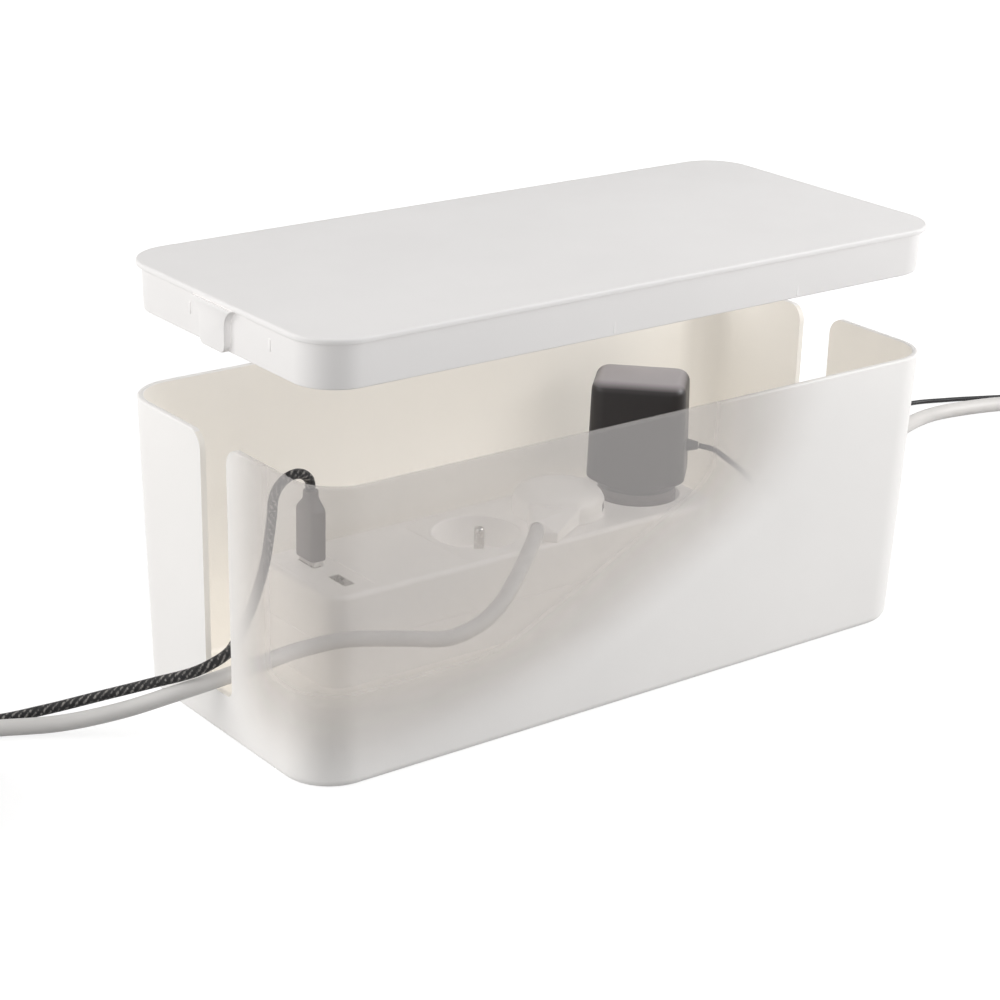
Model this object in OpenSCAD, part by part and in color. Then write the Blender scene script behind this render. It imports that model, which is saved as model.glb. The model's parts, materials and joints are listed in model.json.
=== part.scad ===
// Cable management box: an open tub with a lift-off lid, holding a socket strip with USB ports,
// three plugs and their cords. Millimetres, +Z up. The origin is the centre of the tub's underside,
// +X runs along the tub and +Y points to its back wall. The lid is drawn lifted off by lid_rise.

/* [Tub] */
// Length of the tub at its rim
box_l = 330; // [315:1:380]
// Width of the tub at its rim
box_w = 153; // [145:1:190]
// Height of the tub
box_h = 130; // [125:1:160]
// Wall thickness
wall = 2.6; // [2:0.1:3.2]
// Floor thickness
floor_t = 2.5; // [2:0.1:4]
// Corner radius seen from above
corner_r = 22; // [16:1:28]
// How far each end leans in, from rim to base
end_draft = 1.4; // [0:0.1:2]
// How far each long side leans in, from rim to base
side_draft = 6.2; // [3:0.1:7]
// Rounding of the bottom edge
foot_r = 4; // [2:0.5:5]
// Rounding of the rim
rim_r = 1; // [0.4:0.1:1.2]

/* [Cable slots] */
// Width of the cable slot in each end
slot_w = 20; // [18:1:26]
// Height of the slot's sill above the table
sill_z = 20; // [17:1:22]
// Radius in the slot's lower corners
slot_r = 4; // [1:0.5:6]
// Radius where the slot opens into the rim
flare_r = 8; // [4:0.5:12]

/* [Lid] */
// Thickness of the lid's top plate
lid_t = 2.5; // [2:0.1:4]
// How far the top plate stays inside the tub's outline
lid_inset = 1; // [0.5:0.1:1.4]
// Depth of the skirt below the top plate
skirt_h = 18.5; // [14:0.5:20]
// Thickness of the skirt
skirt_t = 2; // [1.6:0.1:3]
// Gap between the skirt and the tub's wall
skirt_gap = 0.6; // [0.5:0.1:0.8]
// Gap around each tongue in its slot
tongue_gap = 0.4; // [0.3:0.1:1]
// Height at which the lid is drawn above its seat
lid_rise = 56; // [40:1:80]

/* [Socket strip] */
// Distance from the last socket to the strip's right end
strip_end = 26; // [26:1:34]
// Width of the strip
strip_w = 60; // [58:1:64]
// Height of the strip
strip_h = 42.5; // [42:0.5:46]
// Wall thickness of the strip's two shells
shell_t = 2; // [1.6:0.1:2.4]
// Corner radius of the strip seen from above
strip_r = 10; // [6:0.5:12]
// Height of the joint between base and cover
split_h = 19.5; // [19:0.5:21]
// Distance from the tub's right end to the strip
strip_from_right = 53; // [52:1:55]
// Gap between the strip and the back wall at the floor
strip_gap = 3.7; // [1:0.1:5]
// Number of sockets
sockets = 3; // [3:1:3]
// Distance between sockets
pitch = 47; // [46:0.5:48]
// Distance from the strip's left end to the first socket
first_socket = 98; // [96:1:98]
// Turn of each socket about the vertical
socket_turn = -45; // [-50:5:-40]
// Diameter of the round socket recess
recess_d = 40; // [39.6:0.1:40.4]
// Depth of the socket recess
recess_h = 15; // [14.5:0.5:15.5]

/* [Contacts] */
// Diameter of the plug pins and of the earth pin
pin_d = 4.8; // [4.6:0.1:4.8]
// Distance between the two contact holes
pin_gap = 19; // [18.6:0.1:19.4]
// Length of a plug pin below the plug's face
pin_l = 19; // [18:0.5:19.5]
// Distance from the contact holes' line to the earth pin
earth_offset = 10; // [9.6:0.1:10.4]
// Height of the earth pin above the recess floor
earth_h = 14; // [12:0.5:14]
// Travel of the safety shutter
shutter_travel = 7; // [6.8:0.1:7.4]

/* [USB] */
// Distance from the strip's left end to the ports' centre line
usb_from_left = 16; // [15:0.5:16.5]
// Distance between the two ports
port_pitch = 24; // [20:0.5:26]
// Length and width of the port panel
panel_l = 50; // [46:1:52]
panel_w = 21.8; // [20:0.2:22]
// Width of a port's metal shell
port_w = 13.1; // [12.9:0.1:13.4]
// Thickness of a port's metal shell
port_d = 5.7; // [5.6:0.1:6]
// Height of a port's metal shell
port_h = 15.9; // [15:0.1:16.4]

/* [USB plug] */
// Width, depth and height of the overmould
usb_plug_w = 14; // [13:0.5:15]
usb_plug_d = 8; // [7:0.5:9]
usb_plug_h = 31.5; // [26:0.5:36]
// How far the overmould stands off the port panel
usb_plug_off = 2.5; // [1:0.5:4]

/* [Flat plug] */
// Diameter of the domed cap
cap_d = 43; // [42:0.5:44]
// Height of the domed cap
cap_h = 13; // [12:0.5:15]
// Diameter of the plug body inside the recess
plug_d = 37.4; // [36.5:0.1:37.6]
// Length of the tapered beak from the plug's centre
beak_l = 42; // [38:1:46]

/* [Adapter] */
// Width of the adapter's body
adapter_w = 46; // [42:1:48]
// Depth of the adapter's body
adapter_d = 36; // [32:1:38]
// Height of the adapter above the strip
adapter_h = 58; // [52:1:62]
// Height of the round collar under the body
collar_h = 8; // [6:0.5:10]
// Corner radius of the body
adapter_r = 8; // [5:0.5:10]

/* [Cords] */
// Diameter of the braided USB cord
usb_cord_d = 4.5; // [4:0.1:4.6]
// Diameter of the flat plug's cord
plug_cord_d = 7; // [6:0.1:7.2]
// Diameter of the adapter's thin cord
dc_cord_d = 2.6; // [2.4:0.1:3.2]
// Diameter of the strip's lead
lead_d = 8.2; // [7:0.1:8.4]

/* [Hidden] */

$fn = 48;
skin = 0.01;
seat = 0.3;
slip = 0.07;
over = 1;

// Heights, bottom to top.
strip_z = floor_t;
strip_floor = strip_z + shell_t;
split_z = strip_z + split_h;
strip_top = strip_z + strip_h;
recess_floor = strip_top - recess_h;
floor_plate = 2;
shutter_t = 1.4;
shutter_z = recess_floor - floor_plate - seat - shutter_t;
plug_face = recess_floor + seat;
pin_tip = plug_face - pin_l;
contact_top = shutter_z - seat;
contact_floor = pin_tip - 0.7;
bus_top = contact_floor - 0.6;
lid_seat = box_h;

// Places seen from above.
strip_l = first_socket + (sockets - 1) * pitch + strip_end;
strip_x = box_l / 2 - strip_from_right - strip_l;
strip_mid = strip_x + strip_l / 2;
strip_y = box_w / 2 - side_draft - wall - strip_gap - strip_w / 2;
function socket_x(i) = strip_x + first_socket + i * pitch;
spread = pin_gap / 2;
socket_side = [cos(socket_turn), sin(socket_turn)];
socket_back = [-sin(socket_turn), cos(socket_turn)];
function live_x(i) = socket_x(i) - spread * socket_side[0];
function neutral_x(i) = socket_x(i) + spread * socket_side[0];
function earth_x(i) = socket_x(i) + earth_offset * socket_back[0];
live_y = strip_y - spread * socket_side[1];
neutral_y = strip_y + spread * socket_side[1];
earth_y = strip_y + earth_offset * socket_back[1];

// Contacts and buses. Each bus runs past its first and last contact by the two ends given.
pin_r = pin_d / 2;
contact_r = pin_r + slip;
contact_wall = 1;
bus_t = 2;
live_ends = [6, 14];
neutral_ends = [20, 8];
earth_ends = [5, 9];
earth_tab_drop = 6;
earth_tab_t = 1.5;
earth_tab_w = 7;
earth_tab_in = 3;
earth_tab_z = contact_top - earth_tab_drop;
earth_bus_side = 16;
earth_bus_y = strip_y + earth_bus_side;
shutter_past = 4.5;
shutter_w = 8;
shutter_r = 1.5;

// USB module.
usb_x = strip_x + usb_from_left;
panel_x = usb_x - 1.1;
panel_t = 2.2;
panel_slip = 0.15;
panel_rim = 1;
panel_ledge = 1.2;
panel_seat = [2, 1.5];
port_wall = 0.4;
port_floor = 2;
port_side = 10.6;
port_ys = [strip_y + port_side - port_pitch, strip_y + port_side];
tongue = [1.2, 10.4, port_h - 4.5];
board_t = 1.6;
board_z = strip_top - port_h - board_t;
board = [panel_w + 1, panel_l - 3, board_t];
post_r = 2.2;
post_in = [2.4, 3];
core = [13, 15, 9];
winding = [15, 9, 11];
capacitor_r = 4;
capacitor_h = 12;
capacitor_y = 15;
usb_plug_y = port_ys[1];
usb_shell_w = 12;
usb_shell_d = 4.5;
usb_shell_in = 11.5;
usb_shell_up = 6;
bar_t = 0.9;
usb_shoulder = 7;
usb_neck = [6.4, 7];
usb_neck_r = 3;
usb_plug_r = 2;

// Strip fittings.
cup_wall = 1.6;
cover_edge = 2.5;
cup_r = recess_d / 2 + cup_wall;
cup_flange = 1;
cup_slip = 0.05;
face_l = (sockets - 1) * pitch + 2 * (cup_r + 2.4);
face_w = strip_w - 2 * (cover_edge + 1.5);
face_r = 6;
face_seat = 1;
web_t = 1.6;
screw_from_panel = 14.2;
screw_xs = [panel_x + panel_w / 2 + screw_from_panel, socket_x(1) + pitch / 2];
screw_inset = 6.6;
boss_r = 3.2;
screw_r = 1.3;
screw_head_r = 2.8;
screw_head_t = 1.4;
screw_l = 16;
head_gap = 0.2;
gland_side = 16;
gland_y = strip_y - gland_side;
gland_l = 20;
gland_r = 7;
gland_tip_wall = 1.1;
flange_t = 1.6;
flange_in = 0.7;
gland_bore = lead_d / 2 + 0.05;
wire_r = 1.1;
feed_r = 0.9;
lead_in = 14;
lead_start = strip_x + strip_l - lead_in;
clamp_gap = 3;
clamp_x = lead_start + clamp_gap;
clamp_l = 6;
clamp_w = 18;
clamp_over = 0.6;
clamp_screw_in = 2.6;
clamp_head_r = 2.2;
clamp_head_t = 0.8;

// Plugs.
cap_z = strip_top + seat;
pin_head = 2;
sleeve_r = pin_r + 0.9;
cap_wall = 2;
case_z = cap_z + collar_h;
case_top = strip_top + adapter_h;
case_wall = 2;
collar_r = plug_d / 2;

// Cord routes: chosen by hand, from each plug or gland to its coil.
usb_route = [
    [-90, 44.6, 79.2], [-90, 44.4, 83.6], [-92.4, 42.8, 88], [-97.2, 41, 90.5], [-102.6, 40.6, 89],
    [-107, 42, 83.4], [-110, 43.5, 72], [-116, 40, 54], [-125, 33, 43], [-138, 21, 37],
    [-150, 9, 35.5], [-161, 0.2, 35], [-172, 2.6, 30.4], [-185, 17.6, 22.4], [-200, 33.6, 14.4],
    [-219, 49, 6.8], [-238, 59, 3.2], [-252, 71, 2.6], [-262, 86, 2.6], [-265, 96.3, 2.6],
];
plug_route = [
    [9.2, 11.3, 49.7], [0.9, 3, 49.5], [-8, -4, 46.8], [-16, -9.5, 43.2], [-24, -14, 39],
    [-33, -18, 34], [-44, -20, 29], [-61, -19.5, 25.5], [-79, -11, 26.5], [-102, -1, 28],
    [-122, 4, 26.5], [-143, 3, 25.5], [-165, 2, 24.3], [-180, 8, 20], [-198, 22, 11.5],
    [-218, 37, 5.2], [-240, 50, 3.7], [-258, 57, 3.6], [-274, 60.5, 3.6], [-286, 61, 3.6],
];
dc_route = [
    [106, 14, 70], [111, 9.5, 68.5], [117, 5.5, 63.5], [125, 2, 56], [137, -2, 44],
    [150, -5, 35.5], [163, -5.5, 31.5], [175, -1, 28.6], [188, 3, 21], [200, 11, 13],
    [212, 22.5, 6.4], [228, 40, 2.2], [252, 64, 1.6], [282, 90, 1.6], [316, 115, 1.6],
    [350, 134, 1.6], [384, 144.5, 1.6], [410, 137, 1.6], [434, 126.5, 1.6], [452, 118.5, 1.6],
    [467, 114, 1.6], [480.5, 113, 1.6],
];
lead_route = [
    [98, 18, 22], [132, 18, 22], [143, 15.8, 22.8], [153.5, 9, 24], [163, 1, 24.8],
    [173.2, -4.4, 23.2], [183.7, -5.5, 19.8], [194.2, -3.9, 15.6], [202.2, -0.4, 12.4], [210, 5.6, 9.4],
    [222, 17.5, 5.8], [238, 32, 4.4], [262, 53, 4.3], [290, 76, 4.3], [320, 98, 4.3],
    [348, 111.5, 4.3], [376, 118, 4.3], [404, 115, 4.3], [430, 107, 4.3], [449, 97, 4.3],
    [460, 86.5, 4.3], [463, 80.5, 4.3],
];

// Coils: centre, radius at the middle of the turns, width and height of the bundle.
// The cord's last stretch leaves its coil straight, at the outer side of the turns.
function coil_exit(r, w) = sqrt(pow(r + w / 2, 2) - r * r);
usb_coil = [-290, 112];
usb_coil_r = 25;
usb_coil_w = 2 * usb_cord_d;
usb_coil_h = 2 * usb_cord_d;
plug_coil = [-310, 22];
plug_coil_r = 39;
plug_coil_w = 2 * plug_cord_d;
plug_coil_h = 2 * plug_cord_d;
dc_coil = [492, 128];
dc_coil_r = 15;
dc_coil_w = 3 * dc_cord_d;
dc_coil_h = 3 * dc_cord_d;
lead_coil = [508, 52];
lead_coil_r = 45;
lead_coil_w = 2 * lead_d;
lead_coil_h = 2 * lead_d;

// ---------- shared shapes ----------

module rounded(l, w, r) {
    square([l - 2 * r, w], center = true);
    square([l, w - 2 * r], center = true);
    for (x = [-1, 1], y = [-1, 1])
        translate([x * (l / 2 - r), y * (w / 2 - r)])
            circle(r = r);
}

// A flat slice of the tub's outline at height z, pulled in by inset.
function end_in(z) = end_draft * (1 - z / box_h);
function side_in(z) = side_draft * (1 - z / box_h);

module slice(z, inset) {
    translate([0, 0, z])
        linear_extrude(skin)
            rounded(box_l - 2 * (end_in(z) + inset), box_w - 2 * (side_in(z) + inset), corner_r - inset);
}

module drafted(z0, z1, inset) {
    hull() {
        slice(z0, inset);
        slice(z1, inset);
    }
}

// The cable slot's outline, looking along X: the tub's slot has no gap, the lid's tongue has one.
module slot_outline(z0, z1, gap) {
    half = slot_w / 2 - gap;
    r = max(slot_r - gap, 0.2);
    translate([-half, z0 + r])
        square([2 * half, z1 - z0 - r]);
    translate([-half + r, z0])
        square([2 * (half - r), r + skin]);
    for (y = [-1, 1])
        translate([y * (half - r), z0 + r])
            circle(r = r);
    difference() {
        translate([-half - flare_r, box_h - flare_r])
            square([2 * (half + flare_r), z1 - box_h + flare_r]);
        for (y = [-1, 1])
            translate([y * (slot_w / 2 + flare_r), box_h - flare_r])
                circle(r = flare_r + gap);
    }
}

module along_x(length) {
    rotate([90, 0, 90])
        linear_extrude(length, center = true)
            children();
}

module at_socket(i) {
    translate([socket_x(i), strip_y, 0])
        rotate(socket_turn)
            children();
}

module ring(r_out, r_in, z0, z1) {
    difference() {
        translate([0, 0, z0])
            cylinder(r = r_out, h = z1 - z0);
        translate([0, 0, z0 - over])
            cylinder(r = r_in, h = z1 - z0 + 2 * over);
    }
}

module block(size, z0) {
    translate([-size[0] / 2, -size[1] / 2, z0])
        cube(size);
}

// A round pin with a rounded lower end.
module round_pin(r, z0, z1) {
    translate([0, 0, z0 + r])
        sphere(r = r);
    translate([0, 0, z0 + r])
        cylinder(r = r, h = z1 - z0 - r);
}

// ---------- cords ----------

function unit(v) = v / norm(v);
function tangent(path, i) = unit(path[min(i + 1, len(path) - 1)] - path[max(i - 1, 0)]);
function flatten(v, t) = unit(v - t * (v * t));
function normals(path) = [
    for (i = 0, n = flatten([0.2, 0.9, 0.4], tangent(path, 0)); i < len(path);
         i = i + 1, n = flatten(n, tangent(path, min(i, len(path) - 1))))
        n,
];

module cord(path, d, sides) {
    across = normals(path);
    last = len(path) - 1;
    points = [
        for (i = [0 : last], k = [0 : sides - 1])
            let (up = cross(tangent(path, i), across[i]), a = 360 * k / sides)
                path[i] + d / 2 * (cos(a) * across[i] + sin(a) * up),
    ];
    sides_of = [
        for (i = [0 : last - 1], k = [0 : sides - 1])
            let (m = (k + 1) % sides)
                [i * sides + k, (i + 1) * sides + k, (i + 1) * sides + m, i * sides + m],
    ];
    start = [for (k = [0 : sides - 1]) k];
    end = [for (k = [0 : sides - 1]) last * sides + sides - 1 - k];
    polyhedron(points, concat([start], sides_of, [end]), convexity = 8);
}

module coil(centre, r, w, h) {
    bevel = min(w, h) / 4;
    inner = r - w / 2;
    outer = r + w / 2;
    translate([centre[0], centre[1], 0])
        rotate_extrude()
            polygon([
                [inner, bevel], [inner + bevel, 0], [outer - bevel, 0], [outer, bevel],
                [outer, h - bevel], [outer - bevel, h], [inner + bevel, h], [inner, h - bevel],
            ]);
}

// ---------- tub and lid ----------

module tub() {
    color("whitesmoke")
        difference() {
            hull() {
                for (a = [0 : 30 : 90])
                    slice(foot_r * (1 - cos(a)), foot_r * (1 - sin(a)));
                for (a = [0 : 45 : 90])
                    slice(box_h - skin - rim_r * (1 - sin(a)), rim_r * (1 - cos(a)));
            }
            hull() {
                slice(floor_t, wall + foot_r / 2);
                slice(floor_t + foot_r / 2, wall);
                slice(box_h + over, wall);
            }
            along_x(box_l + 2 * over)
                slot_outline(sill_z, box_h + over, 0);
        }
}

nub = [1, 1.4, 5];
nub_h = 0.3;
nub_drop = 10;
nub_ys = [21, -38];
rib_w = 1.2;
rib_xs = [-21, 79];
tongue_in = 0.15;

module lid() {
    skirt = wall + skirt_gap;
    skirt_z = lid_seat - skirt_h;
    nub_z = lid_seat - nub_drop;
    color("whitesmoke")
        translate([0, 0, lid_rise]) {
            hull() {
                slice(lid_seat, lid_inset);
                for (a = [0 : 30 : 90])
                    slice(lid_seat + lid_t - skin - rim_r * (1 - sin(a)), lid_inset + rim_r * (1 - cos(a)));
            }
            difference() {
                union() {
                    drafted(skirt_z, lid_seat, skirt);
                    intersection() {
                        drafted(skirt_z, lid_seat, tongue_in);
                        along_x(box_l)
                            slot_outline(skirt_z, lid_seat + skin, tongue_gap);
                    }
                }
                drafted(skirt_z - over, lid_seat, skirt + skirt_t);
            }
            for (y = nub_ys)
                translate([-box_l / 2 + end_in(nub_z) + skirt - nub_h, y - nub[1] / 2, nub_z])
                    cube(nub);
            for (x = rib_xs)
                translate([x - rib_w / 2, -box_w / 2 + side_in(skirt_z) + skirt - nub_h, skirt_z + rib_w])
                    cube([rib_w, rib_w, skirt_h - rib_w]);
        }
}

// ---------- strip housing ----------

module strip_outline(inset) {
    rounded(strip_l - 2 * inset, strip_w - 2 * inset, strip_r - inset);
}

module strip_screw_places() {
    for (x = screw_xs, y = [-1, 1])
        translate([x, strip_y + y * (strip_w / 2 - screw_inset), 0])
            children();
}

module gland_hole() {
    translate([strip_x + strip_l - cover_edge - over, gland_y, split_z])
        rotate([0, 90, 0])
            cylinder(r = gland_r - 1, h = cover_edge + 2 * over);
}

module strip_base() {
    color("white")
        difference() {
            union() {
                difference() {
                    translate([strip_mid, strip_y, strip_z])
                        linear_extrude(split_h)
                            strip_outline(0);
                    translate([strip_mid, strip_y, strip_floor])
                        linear_extrude(split_h)
                            strip_outline(shell_t);
                }
                translate([panel_x, strip_y, strip_floor - skin])
                    for (x = [-1, 1], y = [-1, 1])
                        translate([x * (board[0] / 2 - post_in[0]), y * (board[1] / 2 - post_in[1]), 0])
                            cylinder(r = post_r, h = board_z - strip_floor + skin);
            }
            gland_hole();
            strip_screw_places()
                translate([0, 0, strip_z - over])
                    cylinder(r = screw_head_r + head_gap, h = screw_head_t + over + head_gap);
            strip_screw_places()
                translate([0, 0, strip_z])
                    cylinder(r = screw_r + head_gap, h = shell_t + over);
        }
}

module cover_block() {
    translate([strip_mid, strip_y, split_z])
        linear_extrude(strip_top - cover_edge - skin - split_z)
            strip_outline(0);
    hull()
        for (a = [0 : 30 : 90])
            translate([strip_mid, strip_y, strip_top - skin - cover_edge * (1 - sin(a))])
                linear_extrude(skin)
                    strip_outline(cover_edge * (1 - cos(a)));
}

module strip_cover() {
    color("white")
        difference() {
            union() {
                difference() {
                    cover_block();
                    translate([strip_mid, strip_y, split_z - over])
                        linear_extrude(strip_top - panel_t - split_z + over)
                            strip_outline(cover_edge);
                }
                translate([panel_x, strip_y, strip_top - panel_t - panel_ledge])
                    linear_extrude(panel_ledge + skin)
                        square([panel_w + 2 * panel_rim, panel_l + 2 * panel_rim], center = true);
                translate([socket_x(1), strip_y, strip_top - panel_t - panel_ledge])
                    linear_extrude(panel_ledge + skin)
                        rounded(face_l + 2 * face_seat, face_w + 2 * face_seat, face_r);
                for (y = [-1, 1])
                    translate([screw_xs[1], strip_y + y * (strip_w / 2 - screw_inset / 2), split_z])
                        linear_extrude(strip_top - panel_t - split_z)
                            square([web_t, screw_inset], center = true);
                strip_screw_places()
                    translate([0, 0, strip_floor])
                        cylinder(r = boss_r, h = strip_top - panel_t - strip_floor + skin);
            }
            translate([socket_x(1), strip_y, strip_top - panel_t - over])
                linear_extrude(panel_t + 2 * over)
                    rounded(face_l + 2 * panel_slip, face_w + 2 * panel_slip, face_r + panel_slip);
            translate([panel_x, strip_y, strip_top - panel_t])
                linear_extrude(panel_t + over)
                    square([panel_w + 2 * panel_slip, panel_l + 2 * panel_slip], center = true);
            translate([panel_x, strip_y, strip_top - panel_t - panel_ledge - over])
                linear_extrude(panel_ledge + 2 * over)
                    square([panel_w - 2 * panel_seat[0], panel_l - 2 * panel_seat[1]], center = true);
            translate([socket_x(1), strip_y, strip_top - panel_t - panel_ledge - over])
                linear_extrude(panel_ledge + 2 * over)
                    difference() {
                        rounded(face_l - 2 * face_seat, face_w - 2 * face_seat, face_r - face_seat);
                        for (y = [-1, 1])
                            translate([screw_xs[1] - socket_x(1), y * (strip_w / 2 - screw_inset)])
                                circle(r = boss_r);
                    }
            gland_hole();
            strip_screw_places()
                translate([0, 0, strip_floor - over])
                    cylinder(r = screw_r, h = screw_l + over);
        }
}

// The face of the three sockets lies in the cover's window.
module socket_face() {
    color("white")
        difference() {
            translate([socket_x(1), strip_y, strip_top - panel_t])
                linear_extrude(panel_t)
                    rounded(face_l, face_w, face_r);
            for (i = [0 : sockets - 1])
                at_socket(i)
                    translate([0, 0, strip_top - panel_t - over])
                        cylinder(r = cup_r + cup_slip, h = panel_t + 2 * over);
        }
}

// Each cup goes into its hole from below, up to its flange.
module socket_cups() {
    color("white")
        for (i = [0 : sockets - 1])
            at_socket(i)
                difference() {
                    union() {
                        translate([0, 0, recess_floor - floor_plate])
                            cylinder(r = cup_r, h = recess_h + floor_plate);
                        translate([0, 0, strip_top - panel_t - cup_flange])
                            cylinder(r = cup_r + cup_flange, h = cup_flange);
                    }
                    translate([0, 0, recess_floor])
                        cylinder(r = recess_d / 2, h = recess_h + over);
                    for (x = [-spread, spread])
                        translate([x, 0, recess_floor - floor_plate - over])
                            cylinder(r = pin_r + seat, h = floor_plate + 2 * over);
                    translate([0, earth_offset, recess_floor - floor_plate - over])
                        cylinder(r = pin_r, h = floor_plate + 2 * over);
                }
}

module strip_screws() {
    color("silver")
        strip_screw_places() {
            translate([0, 0, strip_z + head_gap / 2])
                cylinder(r = screw_head_r, h = screw_head_t);
            translate([0, 0, strip_z + head_gap / 2])
                cylinder(r = screw_r, h = screw_l);
        }
}

// ---------- sockets ----------

// The shutter covers both contact holes. It slides towards the front by shutter_travel to open them.
module shutter(i, slide) {
    at_socket(i)
        translate([0, -slide, shutter_z])
            linear_extrude(shutter_t)
                rounded(pin_gap + 2 * shutter_past, shutter_w, shutter_r);
}

module socket_shutter() {
    color("gainsboro")
        shutter(0, 0);
}

module shutters_held_open() {
    color("gainsboro")
        for (i = [1 : sockets - 1])
            shutter(i, shutter_travel);
}

module contact_tube(x, y) {
    translate([x, y, 0])
        difference() {
            translate([0, 0, bus_top - skin])
                cylinder(r = contact_r + contact_wall, h = contact_top - bus_top + skin);
            translate([0, 0, contact_floor])
                cylinder(r = contact_r, h = contact_top);
        }
}

module bus(x0, x1, y) {
    translate([x0, y - bus_t / 2, strip_floor])
        cube([x1 - x0, bus_t, bus_top - strip_floor]);
}

module live_bus() {
    color("goldenrod") {
        bus(live_x(0) - live_ends[0], live_x(sockets - 1) + live_ends[1], live_y);
        for (i = [0 : sockets - 1])
            contact_tube(live_x(i), live_y);
    }
}

module neutral_bus() {
    color("goldenrod") {
        bus(neutral_x(0) - neutral_ends[0], neutral_x(sockets - 1) + neutral_ends[1], neutral_y);
        for (i = [0 : sockets - 1])
            contact_tube(neutral_x(i), neutral_y);
    }
}

module earth_bus() {
    color("goldenrod") {
        x0 = earth_x(0) - earth_ends[0];
        x1 = earth_x(sockets - 1) + earth_ends[1];
        translate([x0, earth_bus_y - bus_t / 2, strip_floor])
            cube([x1 - x0, bus_t, earth_tab_z + earth_tab_t - strip_floor]);
        for (i = [0 : sockets - 1])
            translate([earth_x(i) - earth_tab_w / 2, earth_y - earth_tab_in, earth_tab_z])
                cube([earth_tab_w, earth_bus_y - earth_y + earth_tab_in, earth_tab_t]);
    }
}

module earth_pins() {
    color("silver")
        for (i = [0 : sockets - 1])
            at_socket(i)
                translate([0, earth_offset, 0]) {
                    translate([0, 0, earth_tab_z + earth_tab_t])
                        cylinder(r = pin_r, h = recess_floor + earth_h - pin_r - earth_tab_z - earth_tab_t);
                    translate([0, 0, recess_floor + earth_h - pin_r])
                        sphere(r = pin_r);
                }
}

// ---------- strip lead, clamp and wires ----------

module cord_clamp() {
    color("dimgray")
        difference() {
            translate([clamp_x, gland_y - clamp_w / 2, strip_floor])
                cube([clamp_l, clamp_w, split_z + lead_d / 2 + clamp_over - strip_floor]);
            translate([clamp_x - over, gland_y, split_z])
                rotate([0, 90, 0])
                    cylinder(r = gland_bore, h = clamp_l + 2 * over);
            for (y = [-1, 1])
                translate([clamp_x + clamp_l / 2, gland_y + y * (clamp_w / 2 - clamp_screw_in), split_z])
                    cylinder(r = screw_r, h = lead_d);
        }
}

module clamp_screws() {
    color("silver")
        for (y = [-1, 1])
            translate([clamp_x + clamp_l / 2, gland_y + y * (clamp_w / 2 - clamp_screw_in), 0]) {
                translate([0, 0, split_z])
                    cylinder(r = screw_r, h = lead_d / 2 + clamp_over);
                translate([0, 0, split_z + lead_d / 2 + clamp_over])
                    cylinder(r = clamp_head_r, h = clamp_head_t);
            }
}

// Each core leaves the end of the lead, runs past the last socket and ends on its bus.
core_out = [-1.8, 0, 0];
live_start = [lead_start - 0.05, gland_y + 2, split_z - 2];
live_end = [live_x(sockets - 1) + live_ends[1] - 2.3, live_y, bus_top + skin];
neutral_start = [lead_start - 0.05, gland_y - 1, split_z - 1.8];
neutral_end = [neutral_x(sockets - 1) + neutral_ends[1] - 2, neutral_y, bus_top + skin];
earth_start = [lead_start - 0.05, gland_y + 0.5, split_z + 2.4];
earth_end = [earth_x(sockets - 1) + earth_ends[1] - 2.6, earth_bus_y, earth_tab_z + earth_tab_t + skin];

module core_wire(path) {
    cord(path, 2 * wire_r, 8);
}

module live_wire() {
    color("saddlebrown")
        core_wire([live_start, live_start + core_out, live_start + [-1.5, 3.6, -1.6],
                   live_start + [0.6, 7.4, -3.4], live_end + [7.5, -5, 6], live_end + [0, 0, 5], live_end]);
}

module neutral_wire() {
    color("royalblue")
        core_wire([neutral_start, neutral_start + core_out, neutral_start + [-2.2, 2, -5],
                   neutral_end + [0, 0, 2.5], neutral_end]);
}

module earth_wire() {
    color("yellowgreen")
        core_wire([earth_start, earth_start + core_out, earth_start + [-1.3, 4.6, 0.5],
                   earth_start + [0.4, 8, 0.5], earth_end + [0, -6, 2.5], earth_end + [0, 0, 2], earth_end]);
}

module strip_gland() {
    x0 = strip_x + strip_l;
    color("gainsboro")
        translate([x0, gland_y, split_z])
            rotate([0, 90, 0])
                difference() {
                    union() {
                        translate([0, 0, -cover_edge - flange_in - flange_t])
                            cylinder(r = gland_r, h = flange_t);
                        translate([0, 0, -cover_edge - flange_in - skin])
                            cylinder(r = gland_r - 1 - slip, h = cover_edge + flange_in + slip + 2 * skin);
                        translate([0, 0, slip])
                            cylinder(r1 = gland_r, r2 = lead_d / 2 + gland_tip_wall, h = gland_l - slip);
                    }
                    translate([0, 0, -cover_edge - flange_t - over])
                        cylinder(r = gland_bore, h = gland_l + cover_edge + flange_t + 2 * over);
                }
}

// ---------- USB module ----------

module port_hole(w, d, z0, h) {
    translate([usb_x - d / 2, -w / 2, z0])
        cube([d, w, h]);
}

module usb_panel() {
    color("white")
        difference() {
            translate([panel_x, strip_y, strip_top - panel_t])
                linear_extrude(panel_t)
                    square([panel_w, panel_l], center = true);
            for (y = port_ys)
                translate([0, y, 0])
                    port_hole(port_w + 0.1, port_d + 0.1, strip_top - panel_t - over, panel_t + 2 * over);
        }
}

module usb_port_shells() {
    inner = [port_w - 2 * port_wall, port_d - 2 * port_wall];
    color("silver")
        for (y = port_ys)
            translate([0, y, board_z + board_t])
                difference() {
                    port_hole(port_w, port_d, 0, port_h - 0.2);
                    port_hole(inner[0], inner[1], port_floor, port_h);
                }
}

module usb_port_tongues() {
    color("white")
        for (y = port_ys)
            translate([usb_x, y, 0])
                block(tongue, board_z + board_t + port_floor);
}

module usb_board() {
    color("darkgreen")
        translate([panel_x, strip_y, 0])
            block(board, board_z);
}

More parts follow.
